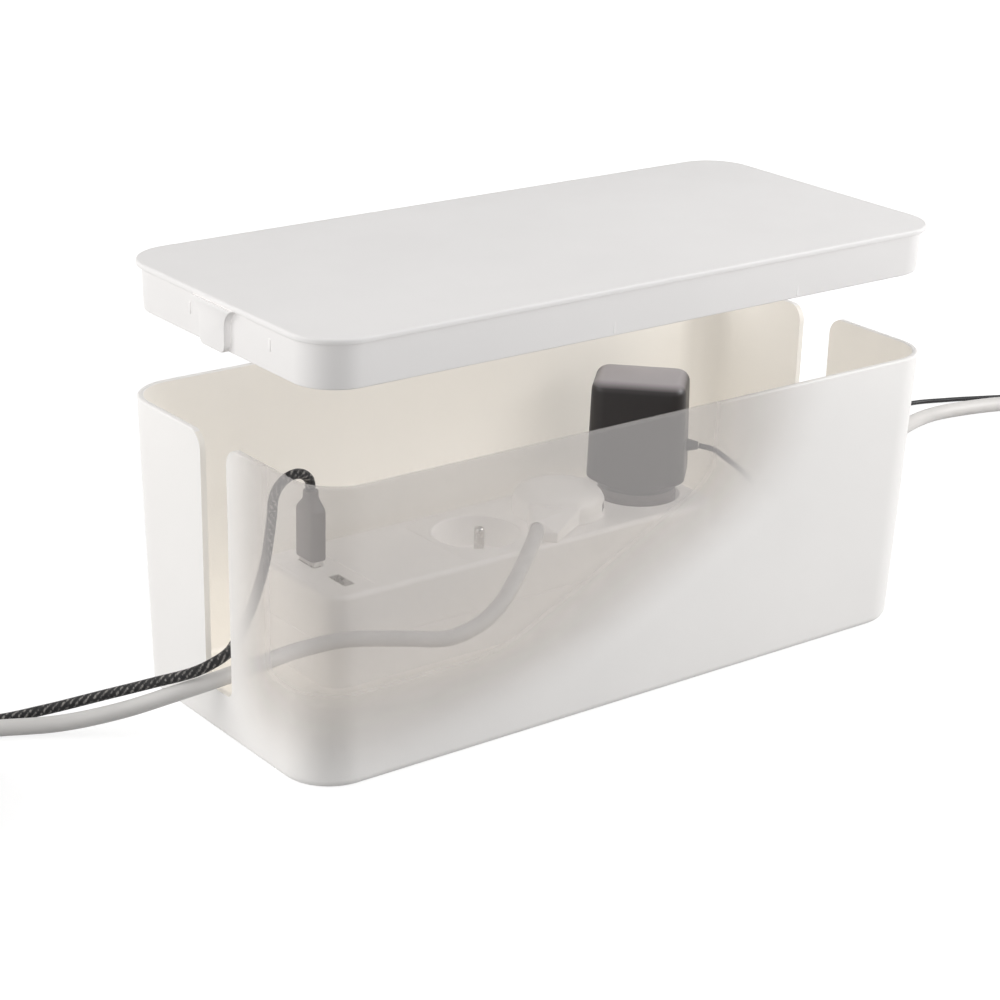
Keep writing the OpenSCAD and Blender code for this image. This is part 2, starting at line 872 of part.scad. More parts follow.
module usb_transformer() {
    color("khaki")
        translate([panel_x, strip_y, 0]) {
            block(core, board_z - core[2]);
            block(winding, board_z - winding[2]);
        }
}

module usb_capacitors() {
    color("navy")
        for (y = [-1, 1])
            translate([panel_x, strip_y + y * capacitor_y, board_z - capacitor_h])
                cylinder(r = capacitor_r, h = capacitor_h);
}

// From the left end of the live and neutral buses to the edge of the USB board.
module usb_feed_wires() {
    edge = panel_x + panel_w / 2 - feed_r + 0.2;
    live_from = [live_x(0) - live_ends[0] - 0.1, live_y, bus_top - 2.5];
    neutral_from = [neutral_x(0) - neutral_ends[0] - 0.1, neutral_y, bus_top - 2.5];
    live_to = [edge, strip_y + 5, board_z - feed_r];
    neutral_to = [edge, strip_y - 5, board_z - feed_r];
    color("dimgray") {
        cord([live_from, live_from + [-16, 0, 1], live_to + [8, -2, -7], live_to], 2 * feed_r, 8);
        cord([neutral_from, neutral_from + [-8, 0, 1], neutral_to + [8, 2, -7], neutral_to], 2 * feed_r, 8);
    }
}

// ---------- USB plug ----------

module usb_plug_grip() {
    z0 = strip_top + usb_plug_off;
    color("dimgray")
        translate([usb_x, usb_plug_y, 0])
            difference() {
                hull() {
                    translate([0, 0, z0])
                        linear_extrude(skin)
                            rounded(usb_plug_d - 1, usb_plug_w - 1, usb_plug_r - 0.5);
                    translate([0, 0, z0 + 1])
                        linear_extrude(usb_plug_h - usb_shoulder - 1)
                            rounded(usb_plug_d, usb_plug_w, usb_plug_r);
                    translate([0, 0, z0 + usb_plug_h - skin])
                        linear_extrude(skin)
                            rounded(usb_neck[0], usb_neck[1], usb_neck_r);
                }
                translate([0, 0, z0 - over])
                    linear_extrude(usb_shell_up + over)
                        square([usb_shell_d, usb_shell_w], center = true);
            }
}

module usb_plug_shell() {
    z0 = strip_top - usb_shell_in;
    h = usb_shell_in + usb_plug_off + usb_shell_up;
    color("silver")
        translate([usb_x, usb_plug_y, z0])
            difference() {
                linear_extrude(h)
                    square([usb_shell_d, usb_shell_w], center = true);
                translate([0, 0, -over])
                    linear_extrude(h)
                        square([usb_shell_d - 2 * port_wall, usb_shell_w - 2 * port_wall], center = true);
            }
}

// The plastic bar with the four contacts, on the front half of the shell's inside.
module usb_plug_contacts() {
    color("white")
        translate([usb_x, usb_plug_y, strip_top - usb_shell_in + port_wall])
            translate([usb_shell_d / 2 - port_wall - bar_t, -usb_shell_w / 2 + port_wall, 0])
                cube([bar_t, usb_shell_w - 2 * port_wall, usb_shell_in + usb_plug_off + usb_shell_up / 2]);
}

// ---------- plugs in sockets ----------

module plug_disc(h) {
    difference() {
        translate([0, 0, plug_face])
            cylinder(r = plug_d / 2, h = h);
        translate([0, earth_offset, plug_face - over])
            cylinder(r = sleeve_r, h = recess_h + over - seat);
        for (x = [-spread, spread])
            translate([x, 0, plug_face - over])
                cylinder(r = pin_r, h = h + 2 * over);
    }
}

module plug_pins(top) {
    for (x = [-spread, spread])
        translate([x, 0, 0]) {
            round_pin(pin_r, pin_tip, top);
            translate([0, 0, top])
                cylinder(r = pin_r + 0.6, h = pin_head);
        }
}

module earth_sleeve() {
    translate([0, earth_offset, 0])
        ring(sleeve_r, contact_r, plug_face + 0.2, strip_top - 0.2);
}

module flat_plug_base() {
    color("gainsboro")
        at_socket(1)
            difference() {
                plug_disc(cap_z - plug_face);
                translate([0, 0, plug_face - over])
                    cylinder(r = 2.8, h = over + 1.8);
                translate([0, 0, plug_face])
                    cylinder(r = screw_r, h = recess_h + over);
            }
}

module flat_plug_pins() {
    color("silver")
        at_socket(1)
            plug_pins(cap_z);
}

module flat_plug_earth_sleeve() {
    color("silver")
        at_socket(1)
            earth_sleeve();
}

module flat_plug_screw() {
    color("silver")
        at_socket(1) {
            translate([0, 0, plug_face + 0.2])
                cylinder(r = 2.6, h = 1.6);
            translate([0, 0, plug_face + 0.2])
                cylinder(r = screw_r, h = recess_h + cap_h - 6);
        }
}

// Finger grips in the cap's sides, and the cord's outlet beside the tip of the beak.
grip_w = 9;
grip_h = 5;
grip_in = 1.2;
outlet_x = -5;
outlet_z = cap_z + 4.4;
outlet_in = 6;
outlet_l = 2;

module flat_plug_cap() {
    r = cap_d / 2;
    top = cap_z + cap_h;
    color("white")
        at_socket(1)
            difference() {
                union() {
                    rotate_extrude()
                        polygon([
                            [0, cap_z], [r, cap_z], [r, cap_z + 5.5], [r - 0.8, cap_z + 8.2],
                            [r - 2.8, cap_z + 10.4], [r - 6, cap_z + 12], [r - 11, cap_z + 12.8], [0, top],
                        ]);
                    hull() {
                        translate([0, -r + 8, cap_z])
                            linear_extrude(9)
                                square([25, 6], center = true);
                        translate([1.5, -beak_l + 1, cap_z + 0.4])
                            linear_extrude(5)
                                square([7, 2], center = true);
                        translate([outlet_x, -beak_l + outlet_in, outlet_z])
                            rotate([90, 0, 0])
                                cylinder(r = plug_cord_d / 2 + 0.7, h = outlet_l, center = true, $fn = 24);
                    }
                    for (k = [0 : 3])
                        translate([-4, -r + 0.6 - 2.6 * k, cap_z + 7.6 - 0.55 * k])
                            cube([8, 1.1, 2]);
                }
                translate([0, 0, cap_z - over])
                    difference() {
                        cylinder(r = r - cap_wall - 2.5, h = cap_h - 2.6 + over);
                        cylinder(r = screw_r + 2.4, h = cap_h);
                    }
                translate([0, 0, cap_z - over])
                    cylinder(r = screw_r, h = cap_h - 4.5);
                translate([outlet_x, -beak_l + outlet_in - outlet_l / 2, outlet_z])
                    rotate([90, 0, 0])
                        cylinder(r = plug_cord_d / 2 + slip, h = outlet_in + over);
                for (x = [-1, 1])
                    translate([x * r, 0, cap_z + grip_in + grip_h / 2])
                        cube([2 * grip_in, grip_w, grip_h], center = true);
            }
}

// ---------- adapter ----------

module adapter_base() {
    color("dimgray")
        at_socket(2) {
            plug_disc(cap_z - plug_face + 1);
            difference() {
                translate([0, 0, cap_z + 1])
                    cylinder(r = collar_r - 0.4, h = collar_h - 1);
                translate([0, 0, cap_z])
                    cylinder(r = collar_r - 3, h = collar_h + over);
            }
        }
}

module adapter_pins() {
    color("silver")
        at_socket(2)
            plug_pins(cap_z + 1);
}

module adapter_earth_sleeve() {
    color("silver")
        at_socket(2)
            earth_sleeve();
}

module case_outline(inset) {
    rounded(adapter_w - 2 * inset, adapter_d - 2 * inset, adapter_r - inset);
}

module adapter_case() {
    edge = 5;
    color("black")
        at_socket(2)
            difference() {
                hull() {
                    translate([0, 0, case_z - 4])
                        cylinder(r = collar_r, h = 1);
                    translate([0, 0, case_z + 3])
                        linear_extrude(skin)
                            case_outline(0);
                    for (a = [0 : 30 : 90])
                        translate([0, 0, case_top - skin - edge * (1 - sin(a))])
                            linear_extrude(skin)
                                case_outline(1 + edge * (1 - cos(a)));
                }
                translate([0, 0, case_z - 4 - over])
                    cylinder(r = collar_r - 0.4, h = 4 + over);
                translate([0, 0, case_z - over])
                    linear_extrude(case_top - case_z - 3 + over)
                        rounded(adapter_w - 2 * case_wall - 10, adapter_d - 2 * case_wall - 4, 3);
                translate([adapter_w / 2 - 8, 0, sleeve_z])
                    rotate([0, 90, 0])
                        cylinder(r = 2.4, h = 10);
            }
}

sleeve_z = strip_top + 25;
sleeve_l = 6;

module adapter_sleeve() {
    color("black")
        at_socket(2)
            translate([adapter_w / 2 - 6, 0, sleeve_z])
                rotate([0, 90, 0]) {
                    cylinder(r = 2.4, h = 6);
                    translate([0, 0, 5])
                        cylinder(r1 = 3.2, r2 = dc_cord_d / 2 + 0.5, h = sleeve_l);
                }
}

module adapter_board() {
    color("darkgreen")
        at_socket(2)
            block([adapter_w - 17, adapter_d - 10, board_t], case_z + 0.5);
}

module adapter_transformer() {
    color("khaki")
        at_socket(2) {
            block([22, 18, 22], case_z + 0.5 + board_t);
            block([28, 10, 16], case_z + 3.5 + board_t);
        }
}

// ---------- cords and their far ends ----------

module usb_cord() {
    color("dimgray")
        cord(usb_route, usb_cord_d, 8);
}

module usb_cord_coil() {
    color("dimgray")
        coil(usb_coil, usb_coil_r, usb_coil_w, usb_coil_h);
}

// The USB-C end lies beside its coil, pointing to the left.
module at_usb_c() {
    translate([usb_coil[0] - coil_exit(usb_coil_r, usb_coil_w), usb_coil[1] + usb_coil_r, usb_coil_h / 2])
        rotate([90, 0, -90])
            children();
}

module usb_c_grip() {
    color("dimgray")
        at_usb_c() {
            cylinder(r1 = 2.7, r2 = 3.2, h = 8);
            translate([0, 0, 8])
                linear_extrude(17)
                    rounded(11, 6.4, 3);
        }
}

module usb_c_shell() {
    color("silver")
        at_usb_c()
            translate([0, 0, 25])
                linear_extrude(6.6)
                    difference() {
                        rounded(8.3, 2.5, 1.2);
                        rounded(7.5, 1.7, 0.8);
                    }
}

module plug_cord() {
    color("gainsboro")
        cord(plug_route, plug_cord_d, 10);
}

module plug_cord_coil() {
    color("gainsboro")
        coil(plug_coil, plug_coil_r, plug_coil_w, plug_coil_h);
}

// The appliance connector lies beside its coil, pointing to the front.
module at_connector() {
    translate([plug_coil[0] - plug_coil_r, plug_coil[1] - coil_exit(plug_coil_r, plug_coil_w), 9.3])
        rotate([90, 0, 0])
            children();
}

connector_l = 32;

module appliance_connector() {
    color("gainsboro")
        at_connector()
            difference() {
                union() {
                    cylinder(r1 = plug_cord_d / 2 + 0.8, r2 = 6.5, h = 22);
                    translate([0, 0, 22])
                        linear_extrude(connector_l)
                            rounded(26, 18, 4);
                }
                for (x = [-7, 0, 7])
                    translate([x - 1.4, x == 0 ? -4.5 : 0.5, 22 + connector_l - 16])
                        cube([2.8, 5, 17]);
            }
}

module appliance_contacts() {
    color("goldenrod")
        at_connector()
            for (x = [-7, 0, 7])
                translate([x - 1, x == 0 ? -4 : 1, 22 + connector_l - 15.5])
                    cube([0.6, 4, 12]);
}

module dc_cord() {
    color("black")
        cord(dc_route, dc_cord_d, 8);
}

module dc_cord_coil() {
    color("black")
        coil(dc_coil, dc_coil_r, dc_coil_w, dc_coil_h);
}

// The barrel plug lies beside its coil.
module at_dc_plug() {
    translate([dc_coil[0] + dc_coil_r, dc_coil[1] + coil_exit(dc_coil_r, dc_coil_w), 5.2])
        rotate([-90, 0, 0])
            children();
}

module dc_plug_grip() {
    color("black")
        at_dc_plug() {
            cylinder(r1 = dc_cord_d / 2 + 0.5, r2 = 3.6, h = 10);
            translate([0, 0, 10])
                cylinder(r = 5, h = 18);
        }
}

module dc_plug_barrel() {
    color("silver")
        at_dc_plug()
            translate([0, 0, 28])
                difference() {
                    cylinder(r = 2.75, h = 9.5);
                    translate([0, 0, 1])
                        cylinder(r = 1.05, h = 9.5);
                }
}

module strip_lead() {
    color("gainsboro")
        cord(lead_route, lead_d, 10);
}

module strip_lead_coil() {
    color("gainsboro")
        coil(lead_coil, lead_coil_r, lead_coil_w, lead_coil_h);
}

// The wall plug lies beside its coil with its pins to the back.
module at_wall_plug() {
    translate([lead_coil[0] + lead_coil_r, lead_coil[1] + coil_exit(lead_coil_r, lead_coil_w), 19])
        rotate([-90, 0, 0])
            children();
}

wall_plug_l = 30;

module wall_plug_body() {
    color("white")
        at_wall_plug()
            difference() {
                union() {
                    cylinder(r1 = lead_d / 2 + 1, r2 = 8, h = 24);
                    translate([0, 0, 24])
                        cylinder(r1 = 12, r2 = plug_d / 2, h = 8);
                    translate([0, 0, 32])
                        cylinder(r = plug_d / 2, h = wall_plug_l - 8);
                }
                translate([0, earth_offset, 24 + wall_plug_l - 15])
                    cylinder(r = pin_r + seat, h = 16);
                for (x = [-spread, spread])
                    translate([x, 0, 24 + wall_plug_l - 10])
                        cylinder(r = pin_r, h = 11);
            }
}

module wall_plug_pins() {
    color("silver")
        at_wall_plug()
            for (x = [-spread, spread])
                translate([x, 0, 24 + wall_plug_l - 10]) {
                    cylinder(r = pin_r, h = 10 + pin_l - pin_r);
                    translate([0, 0, 10 + pin_l - pin_r])
                        sphere(r = pin_r);
                }
}

tub();
lid();
strip_base();
strip_cover();
socket_face();
socket_cups();
strip_screws();
socket_shutter();
shutters_held_open();
live_bus();
neutral_bus();
earth_bus();
earth_pins();
cord_clamp();
clamp_screws();
live_wire();
neutral_wire();
earth_wire();
strip_gland();
usb_panel();
usb_port_shells();
usb_port_tongues();
usb_board();
usb_transformer();
usb_capacitors();
usb_feed_wires();
usb_plug_grip();
usb_plug_shell();
usb_plug_contacts();
flat_plug_base();
flat_plug_cap();
flat_plug_pins();
flat_plug_earth_sleeve();
flat_plug_screw();
adapter_base();
adapter_case();
adapter_pins();
adapter_earth_sleeve();
adapter_board();
adapter_transformer();
adapter_sleeve();
usb_cord();
usb_cord_coil();
usb_c_grip();
usb_c_shell();
plug_cord();
plug_cord_coil();
appliance_connector();
appliance_contacts();
dc_cord();
dc_cord_coil();
dc_plug_grip();
dc_plug_barrel();
strip_lead();
strip_lead_coil();
wall_plug_body();
wall_plug_pins();
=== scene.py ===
import json
import math

import bmesh
import bpy
import numpy as np
from mathutils import Matrix, Vector


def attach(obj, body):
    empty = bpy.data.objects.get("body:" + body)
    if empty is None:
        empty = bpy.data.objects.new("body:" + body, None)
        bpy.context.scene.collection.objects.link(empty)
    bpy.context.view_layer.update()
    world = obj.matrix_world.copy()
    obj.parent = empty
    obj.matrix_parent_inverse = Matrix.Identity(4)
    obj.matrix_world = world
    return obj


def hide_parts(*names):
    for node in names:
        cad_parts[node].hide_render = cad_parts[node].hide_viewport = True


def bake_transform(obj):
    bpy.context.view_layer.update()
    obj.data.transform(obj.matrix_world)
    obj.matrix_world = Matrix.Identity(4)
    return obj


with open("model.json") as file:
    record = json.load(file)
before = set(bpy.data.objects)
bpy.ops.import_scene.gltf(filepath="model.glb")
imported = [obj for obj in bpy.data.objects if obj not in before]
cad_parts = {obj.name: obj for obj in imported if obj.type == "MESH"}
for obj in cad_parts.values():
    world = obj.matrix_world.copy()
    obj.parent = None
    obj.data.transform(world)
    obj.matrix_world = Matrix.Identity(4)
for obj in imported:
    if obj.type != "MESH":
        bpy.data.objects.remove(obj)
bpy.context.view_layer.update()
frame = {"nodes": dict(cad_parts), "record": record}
nodes = frame["nodes"]
MM = 0.001

# The part's own sizes, in mm, as the model has them.
BOX_L, BOX_W, BOX_H, WALL, FLOOR_T = 330, 153, 130, 2.6, 2.5
CORNER_R, END_DRAFT, SIDE_DRAFT, FOOT_R, RIM_R = 22, 1.4, 6.2, 4, 1
SLOT_W, SILL_Z, SLOT_R, FLARE_R = 20, 20, 4, 8
LID_T, LID_INSET, SKIRT_H, SKIRT_T, SKIRT_GAP, TONGUE_GAP, LID_RISE = 2.5, 1, 18.5, 2, 0.6, 0.4, 56
STRIP_X, STRIP_Y, STRIP_L, STRIP_W, STRIP_R = 3, 34, 218, 60, 10
SPLIT_Z, STRIP_TOP, COVER_EDGE, COVER_WALL, RECESS_FLOOR = 22, 45, 2.5, 2.5, 30
SOCKET_XS, SOCKET_TURN, RECESS_R = (-8, 39, 86), -45, 20
FACE_L, FACE_W, FACE_R, PLATE_T, SEAM = 142, 52, 6, 2.2, 0.15
USB_X, PANEL_X, USB_PLUG_Y = -90, -91.1, 44.6
CAP_R, CAP_Z = 21.5, 45.3


# ---------- camera ----------

AZIMUTH, ELEVATION, ROLL = -37.46678818, 20.90037489, 1.44313433    # degrees
TARGET, DISTANCE = (-0.02102197, 0, 0.07393769), 1.1109634          # metres
LENS, SENSOR_W = 91.8888, 36                                        # mm
CLIP_START, CLIP_END = 0.05, 20                                     # metres


def add_camera():
    azimuth, elevation, roll = (math.radians(x) for x in (AZIMUTH, ELEVATION, ROLL))
    level = math.cos(elevation)
    back = Vector((math.sin(azimuth) * level, -math.cos(azimuth) * level, math.sin(elevation)))
    right = Vector((0, 0, 1)).cross(back).normalized()
    up = back.cross(right)
    right, up = math.cos(roll) * right + math.sin(roll) * up, -math.sin(roll) * right + math.cos(roll) * up
    place = Vector(TARGET) + DISTANCE * back
    data = bpy.data.cameras.new("camera")
    data.lens = LENS
    data.sensor_width = SENSOR_W
    data.sensor_fit = "HORIZONTAL"
    data.clip_start = CLIP_START
    data.clip_end = CLIP_END
    camera = bpy.data.objects.new("camera", data)
    bpy.context.scene.collection.objects.link(camera)
    turn = Matrix((right, up, back)).transposed().to_4x4()
    camera.matrix_world = Matrix.Translation(place) @ turn
    bpy.context.scene.camera = camera


add_camera()


# ---------- mesh helpers, all in mm ----------

def new_object(name, mesh, material=None):
    obj = bpy.data.objects.new(name, mesh)
    bpy.context.scene.collection.objects.link(obj)
    if material:
        obj.data.materials.append(material)
    return obj


def mesh_from(name, points, faces):
    mesh = bpy.data.meshes.new(name)
    mesh.from_pydata([tuple(MM * c for c in p) for p in points], [], faces)
    mesh.validate()
    bm = bmesh.new()
    bm.from_mesh(mesh)
    bmesh.ops.recalc_face_normals(bm, faces=bm.faces)
    bm.to_mesh(mesh)
    bm.free()
    return mesh


def skin(rows, n):
    """The four-sided faces between rows of n points each."""
    return [
        (i * n + k, i * n + (k + 1) % n, (i + 1) * n + (k + 1) % n, (i + 1) * n + k)
        for i in range(rows - 1)
        for k in range(n)
    ]


def loft(name, rings):
    """A skin over rings of as many points each, with flat ends."""
    n = len(rings[0])
    points = [p for ring in rings for p in ring]
    ends = [tuple(range(n)), tuple(range(len(points) - n, len(points)))]
    return mesh_from(name, points, skin(len(rings), n) + ends)


def rounded(l, w, r, n=16):
    """A rounded rectangle, n steps to each corner."""
    r = max(r, 0.01)
    points = []
    for corner, (sx, sy) in enumerate(((1, 1), (-1, 1), (-1, -1), (1, -1))):
        for k in range(n + 1):
            a = math.pi / 2 * (corner + k / n)
            points.append((sx * (l / 2 - r) + r * math.cos(a), sy * (w / 2 - r) + r * math.sin(a)))
    return points


def circle(r, n=96):
    return [(r * math.cos(2 * math.pi * k / n), r * math.sin(2 * math.pi * k / n)) for k in range(n)]


def at(points, z, x=0, y=0):
    return [(x + p[0], y + p[1], z) for p in points]


def quarter(n=8):
    return [math.pi / 2 * k / n for k in range(n + 1)]


def rounded_block(l, w, z0, z1, r, x, y, edge=0.5):
    """The rings of an upright block whose top and bottom edges are rounded."""

    def ring(inset, z):
        return at(rounded(l - 2 * inset, w - 2 * inset, r, 6), z, x, y)

    rows = [ring(edge * (1 - math.sin(a)), z0 + edge * (1 - math.cos(a))) for a in quarter(3)]
    return rows + [ring(edge * (1 - math.cos(a)), z1 - edge * (1 - math.sin(a))) for a in quarter(3)]


def joined(name, meshes):
    bm = bmesh.new()
    for mesh in meshes:
        bm.from_mesh(mesh)
    mesh = bpy.data.meshes.new(name)
    bm.to_mesh(mesh)
    bm.free()
    return mesh


def hull_of(name, points):
    bm = bmesh.new()
    for p in points:
        bm.verts.new([MM * c for c in p])
    bmesh.ops.convex_hull(bm, input=bm.verts)
    loose = [v for v in bm.verts if not v.link_faces]
    bmesh.ops.delete(bm, geom=loose, context="VERTS")
    mesh = bpy.data.meshes.new(name)
    bm.to_mesh(mesh)
    bm.free()
    return mesh


def applied(obj):
    """Puts the modifiers' result into the mesh."""
    evaluated = obj.evaluated_get(bpy.context.evaluated_depsgraph_get())
    mesh = bpy.data.meshes.new_from_object(evaluated)
    obj.modifiers.clear()
    obj.data = mesh


def cut(obj, tool_mesh, operation="DIFFERENCE"):
    tool = new_object("cutter", tool_mesh)
    mod = obj.modifiers.new("cut", "BOOLEAN")
    mod.object = tool
    mod.operation = operation
    mod.solver = "EXACT"
    applied(obj)
    bpy.data.objects.remove(tool)


def shade(obj, angle=35):
    obj.data.shade_smooth()
    obj.data.set_sharp_from_angle(angle=math.radians(angle))
    return obj


def remeshed(obj, voxel, smooth):
    mod = obj.modifiers.new("voxels", "REMESH")
    mod.mode = "VOXEL"
    mod.voxel_size = voxel * MM
    applied(obj)
    mod = obj.modifiers.new("smooth", "SMOOTH")
    mod.factor = 0.5
    mod.iterations = smooth
    applied(obj)
    obj.data.shade_smooth()


# ---------- cords ----------

COIL_STEPS = 24                         # points to each turn of a coil
ACROSS = np.array([0.2, 0.9, 0.4])      # the side of the line on which a tube's first point lies


def unit(v):
    return v / max(np.linalg.norm(v), 1e-9)


def smooth_line(points, step):
    """Points about step apart on a centripetal Catmull-Rom curve through the given ones."""
    p = np.array(points, float)
    p = np.vstack([2 * p[0] - p[1], p, 2 * p[-1] - p[-2]])
    line = []
    for a, b, c, d in zip(p[:-3], p[1:-2], p[2:-1], p[3:]):
        t1 = np.linalg.norm(b - a) ** 0.5
        t2 = t1 + np.linalg.norm(c - b) ** 0.5
        t3 = t2 + np.linalg.norm(d - c) ** 0.5
        count = max(2, math.ceil(np.linalg.norm(c - b) / step))
        for t in np.linspace(t1, t2, count, endpoint=False):
            a1 = (t1 - t) / t1 * a + t / t1 * b
            a2 = (t2 - t) / (t2 - t1) * b + (t - t1) / (t2 - t1) * c
            a3 = (t3 - t) / (t3 - t2) * c + (t - t2) / (t3 - t2) * d
            b1 = (t2 - t) / t2 * a1 + t / t2 * a2
            b2 = (t3 - t) / (t3 - t1) * a2 + (t - t1) / (t3 - t1) * a3
            line.append((t2 - t) / (t2 - t1) * b1 + (t - t1) / (t2 - t1) * b2)
    line.append(p[-2])
    return np.array(line)


def winding(centre, r, d, turns, strands, first):
    """The turns of a hand-wound coil: its strands lie in a ring that twists slowly round the core."""
    ring = d / (2 * math.sin(math.pi / strands))
    points = []
    for k in range(math.floor(turns * COIL_STEPS) + 1):
        t = k / COIL_STEPS
        a = math.radians(first) + 2 * math.pi * t
        twist = -math.pi / 4 - 2 * math.pi * t / strands
        rr = r + ring * math.cos(twist)
        z = ring + d / 2 + ring * math.sin(twist)
        points.append((centre[0] + rr * math.cos(a), centre[1] + rr * math.sin(a), z))
    return points


def add_length_uvs(mesh, line, sides):
    """UVs for a tube: u once around, v the length in metres."""
    quads = (len(line) - 1) * sides
    length = np.concatenate([[0], np.cumsum(np.linalg.norm(np.diff(line, axis=0), axis=1))]) * MM
    uv = mesh.uv_layers.new(name="UVMap")
    for face in mesh.polygons:
        i, k = divmod(face.index, sides)
        for corner, loop in enumerate(face.loop_indices):
            if face.index < quads:
                uv.data[loop].uv = ((k + (corner in (1, 2))) / sides, length[i + (corner in (2, 3))])
            else:
                uv.data[loop].uv = (0, length[0 if face.index == quads else -1])


def tube(name, line, d, sides, material):
    """A round tube along a line."""
    n = len(line)
    along = np.zeros((n, 3))
    along[1:-1] = line[2:] - line[:-2]
    along[0] = line[1] - line[0]
    along[-1] = line[-1] - line[-2]
    along = np.array([unit(v) for v in along])
    across = unit(ACROSS - along[0] * (along[0] @ ACROSS))
    angles = 2 * math.pi * np.arange(sides) / sides
    points = []
    for p, t in zip(line, along):
        across = unit(across - t * (across @ t))
        up = np.cross(t, across)
        points += [p + d / 2 * (math.cos(a) * across + math.sin(a) * up) for a in angles]
    ends = [tuple(range(sides))[::-1], tuple(range((n - 1) * sides, n * sides))]
    mesh = bpy.data.meshes.new(name)
    mesh.from_pydata([tuple(MM * p) for p in points], [], skin(n, sides) + ends)
    add_length_uvs(mesh, line, sides)
    mesh.shade_smooth()
    for face in mesh.polygons[-2:]:
        face.use_smooth = False
    return new_object(name, mesh, material)


USB_ROUTE = [
    (-90, 44.6, 79.2), (-91, 44.2, 83.9), (-94.8, 43.2, 87.5), (-99.9, 42.2, 88.9), (-105, 41.9, 87.5),
    (-108.7, 42.3, 83.7), (-110.2, 43, 78.6), (-110.5, 43.5, 72), (-116, 40, 54), (-125, 33, 43),
    (-138, 21, 37), (-150, 9, 35.5), (-161, 0.2, 35), (-172, 2.6, 30.4), (-185, 17.6, 22.4), (-200, 33.6, 14.4),
    (-219, 49, 6.8), (-238, 59, 3.2), (-252, 71, 2.6), (-262, 86, 2.6), (-265, 96.3, 2.6),
]
PLUG_ROUTE = [
    (9.2, 11.3, 49.7), (0.9, 3, 49.5), (-8, -4, 46.8), (-16, -9.5, 43.2), (-24, -14, 39),
    (-33, -18, 34), (-44, -20, 29), (-61, -19.5, 25.5), (-79, -11, 26.5), (-102, -1, 28),
    (-122, 4, 26.5), (-143, 3, 25.5), (-165, 2, 24.3), (-180, 8, 20), (-198, 22, 11.5),
    (-218, 37, 5.2), (-240, 50, 3.7), (-258, 57, 3.6), (-274, 60.5, 3.6), (-286, 61, 3.6),
]
DC_ROUTE = [
    (106, 14, 70), (111, 9.5, 68.5), (117, 5.5, 63.5), (125, 2, 56), (137, -2, 44),
    (150, -5, 35.5), (163, -5.5, 31.5), (175, -1, 28.6), (188, 3, 21), (200, 11, 13),
    (212, 22.5, 6.4), (228, 40, 2.2), (252, 64, 1.6), (282, 90, 1.6), (316, 115, 1.6),
    (350, 134, 1.6), (384, 144.5, 1.6), (410, 137, 1.6), (434, 126.5, 1.6), (452, 118.5, 1.6),
    (467, 114, 1.6), (480.5, 113, 1.6),
]
LEAD_ROUTE = [
    (98, 18, 22), (132, 18, 22), (143, 15.8, 22.8), (153.5, 9, 24), (163, 1, 24.8),
    (173.2, -4.4, 23.2), (183.7, -5.5, 19.8), (194.2, -3.9, 15.6), (202.2, -0.4, 12.4), (210, 5.6, 9.4),
    (222, 17.5, 5.8), (238, 32, 4.4), (262, 53, 4.3), (290, 76, 4.3), (320, 98, 4.3),
    (348, 111.5, 4.3), (376, 118, 4.3), (404, 115, 4.3), (429, 107.5, 4.3), (447, 96.5, 4.3),
    (456.5, 84, 4.3), (461.5, 70.5, 4.3),
]
USB_D, PLUG_D, DC_D, LEAD_D = 4.5, 7, 2.6, 8.2

# Each coil's centre, radius, cord, turns, strands and first angle, and the cord's last points.
USB_COIL, USB_END = ((-290, 112), 25, USB_D, 4.25, 5, 0), [(-305.7, 137, 4.5), (-308, 137, 4.5)]
PLUG_COIL, PLUG_END = ((-310, 22), 39, PLUG_D, 3.25, 4, 90), [(-349, -2.4, 9.3), (-349, -6, 9.3)]
DC_COIL, DC_END = ((492, 128), 15, DC_D, 7.25, 8, -90), [(507, 139.5, 5.2), (507, 142, 5.2)]
LEAD_COIL, LEAD_END = ((508, 52), 45, LEAD_D, 3.5, 4, 180), [(553, 80.4, 19), (553, 84, 19)]


def cord_line(route, coil, end, step):
    return smooth_line(list(route) + winding(*coil)[1:] + end, step)


usb_line = cord_line(USB_ROUTE, USB_COIL, USB_END, step=2)
plug_line = cord_line(PLUG_ROUTE, PLUG_COIL, PLUG_END, step=3)
dc_line = cord_line(DC_ROUTE, DC_COIL, DC_END, step=1.6)
lead_line = cord_line(LEAD_ROUTE, LEAD_COIL, LEAD_END, step=3.4)


# ---------- materials ----------

NOISE_LOW, NOISE_HIGH = 0.3, 0.7        # most of a noise's values lie between these
FINE, FINEST = 0.0002, 0.0001           # how deep a grain is, in metres

# The window's edges, in metres, each from where it is closed to where it is clear.
WINDOW_X, WINDOW_Y, WINDOW_Z, WINDOW_SLOPE = (0.104, 0.024), (0, -0.042), (0, 0.048), (-0.004, 0.048)
SLOPE_START, SLOPE_RISE = 0.075, 0.5    # it starts this far left of the middle and rises by half
WINDOW_PAINTED_SHADE = (195, 192, 191)      # painted shade: the grey that darkens the window and what shows through it
WINDOW_CLEAR = 0.67         # what one face of the window lets through; its two faces pass 0.45
GLASS_TINT = (0.99, 0.985, 0.98, 1)

# Colours by how far a face of the case turns up, a painted light on its top, and by the braid's thread and
# fleck.
CASE_PAINTED_LIGHT_TONES = ((0.1, (30, 27, 29)), (0.45, (52, 49, 51)), (0.97, (158, 153, 156)))
BRAID_TONES = ((0.22, (16, 16, 17)), (0.42, (44, 43, 44)), (0.60, (134, 131, 127)))
WAVE_ROUND, WAVE_ALONG, FLECKS = math.pi, 170, (5, 620, 1)      # the braid's scales on its UVs


def linear(rgb):
    """sRGB from 0 to 255, as linear numbers."""
    return tuple(((c / 255 + 0.055) / 1.055) ** 2.4 if c > 10 else c / 255 / 12.92 for c in rgb)


def shifted(rgb, by):
    return tuple(max(0, min(1, c * by)) for c in linear(rgb))


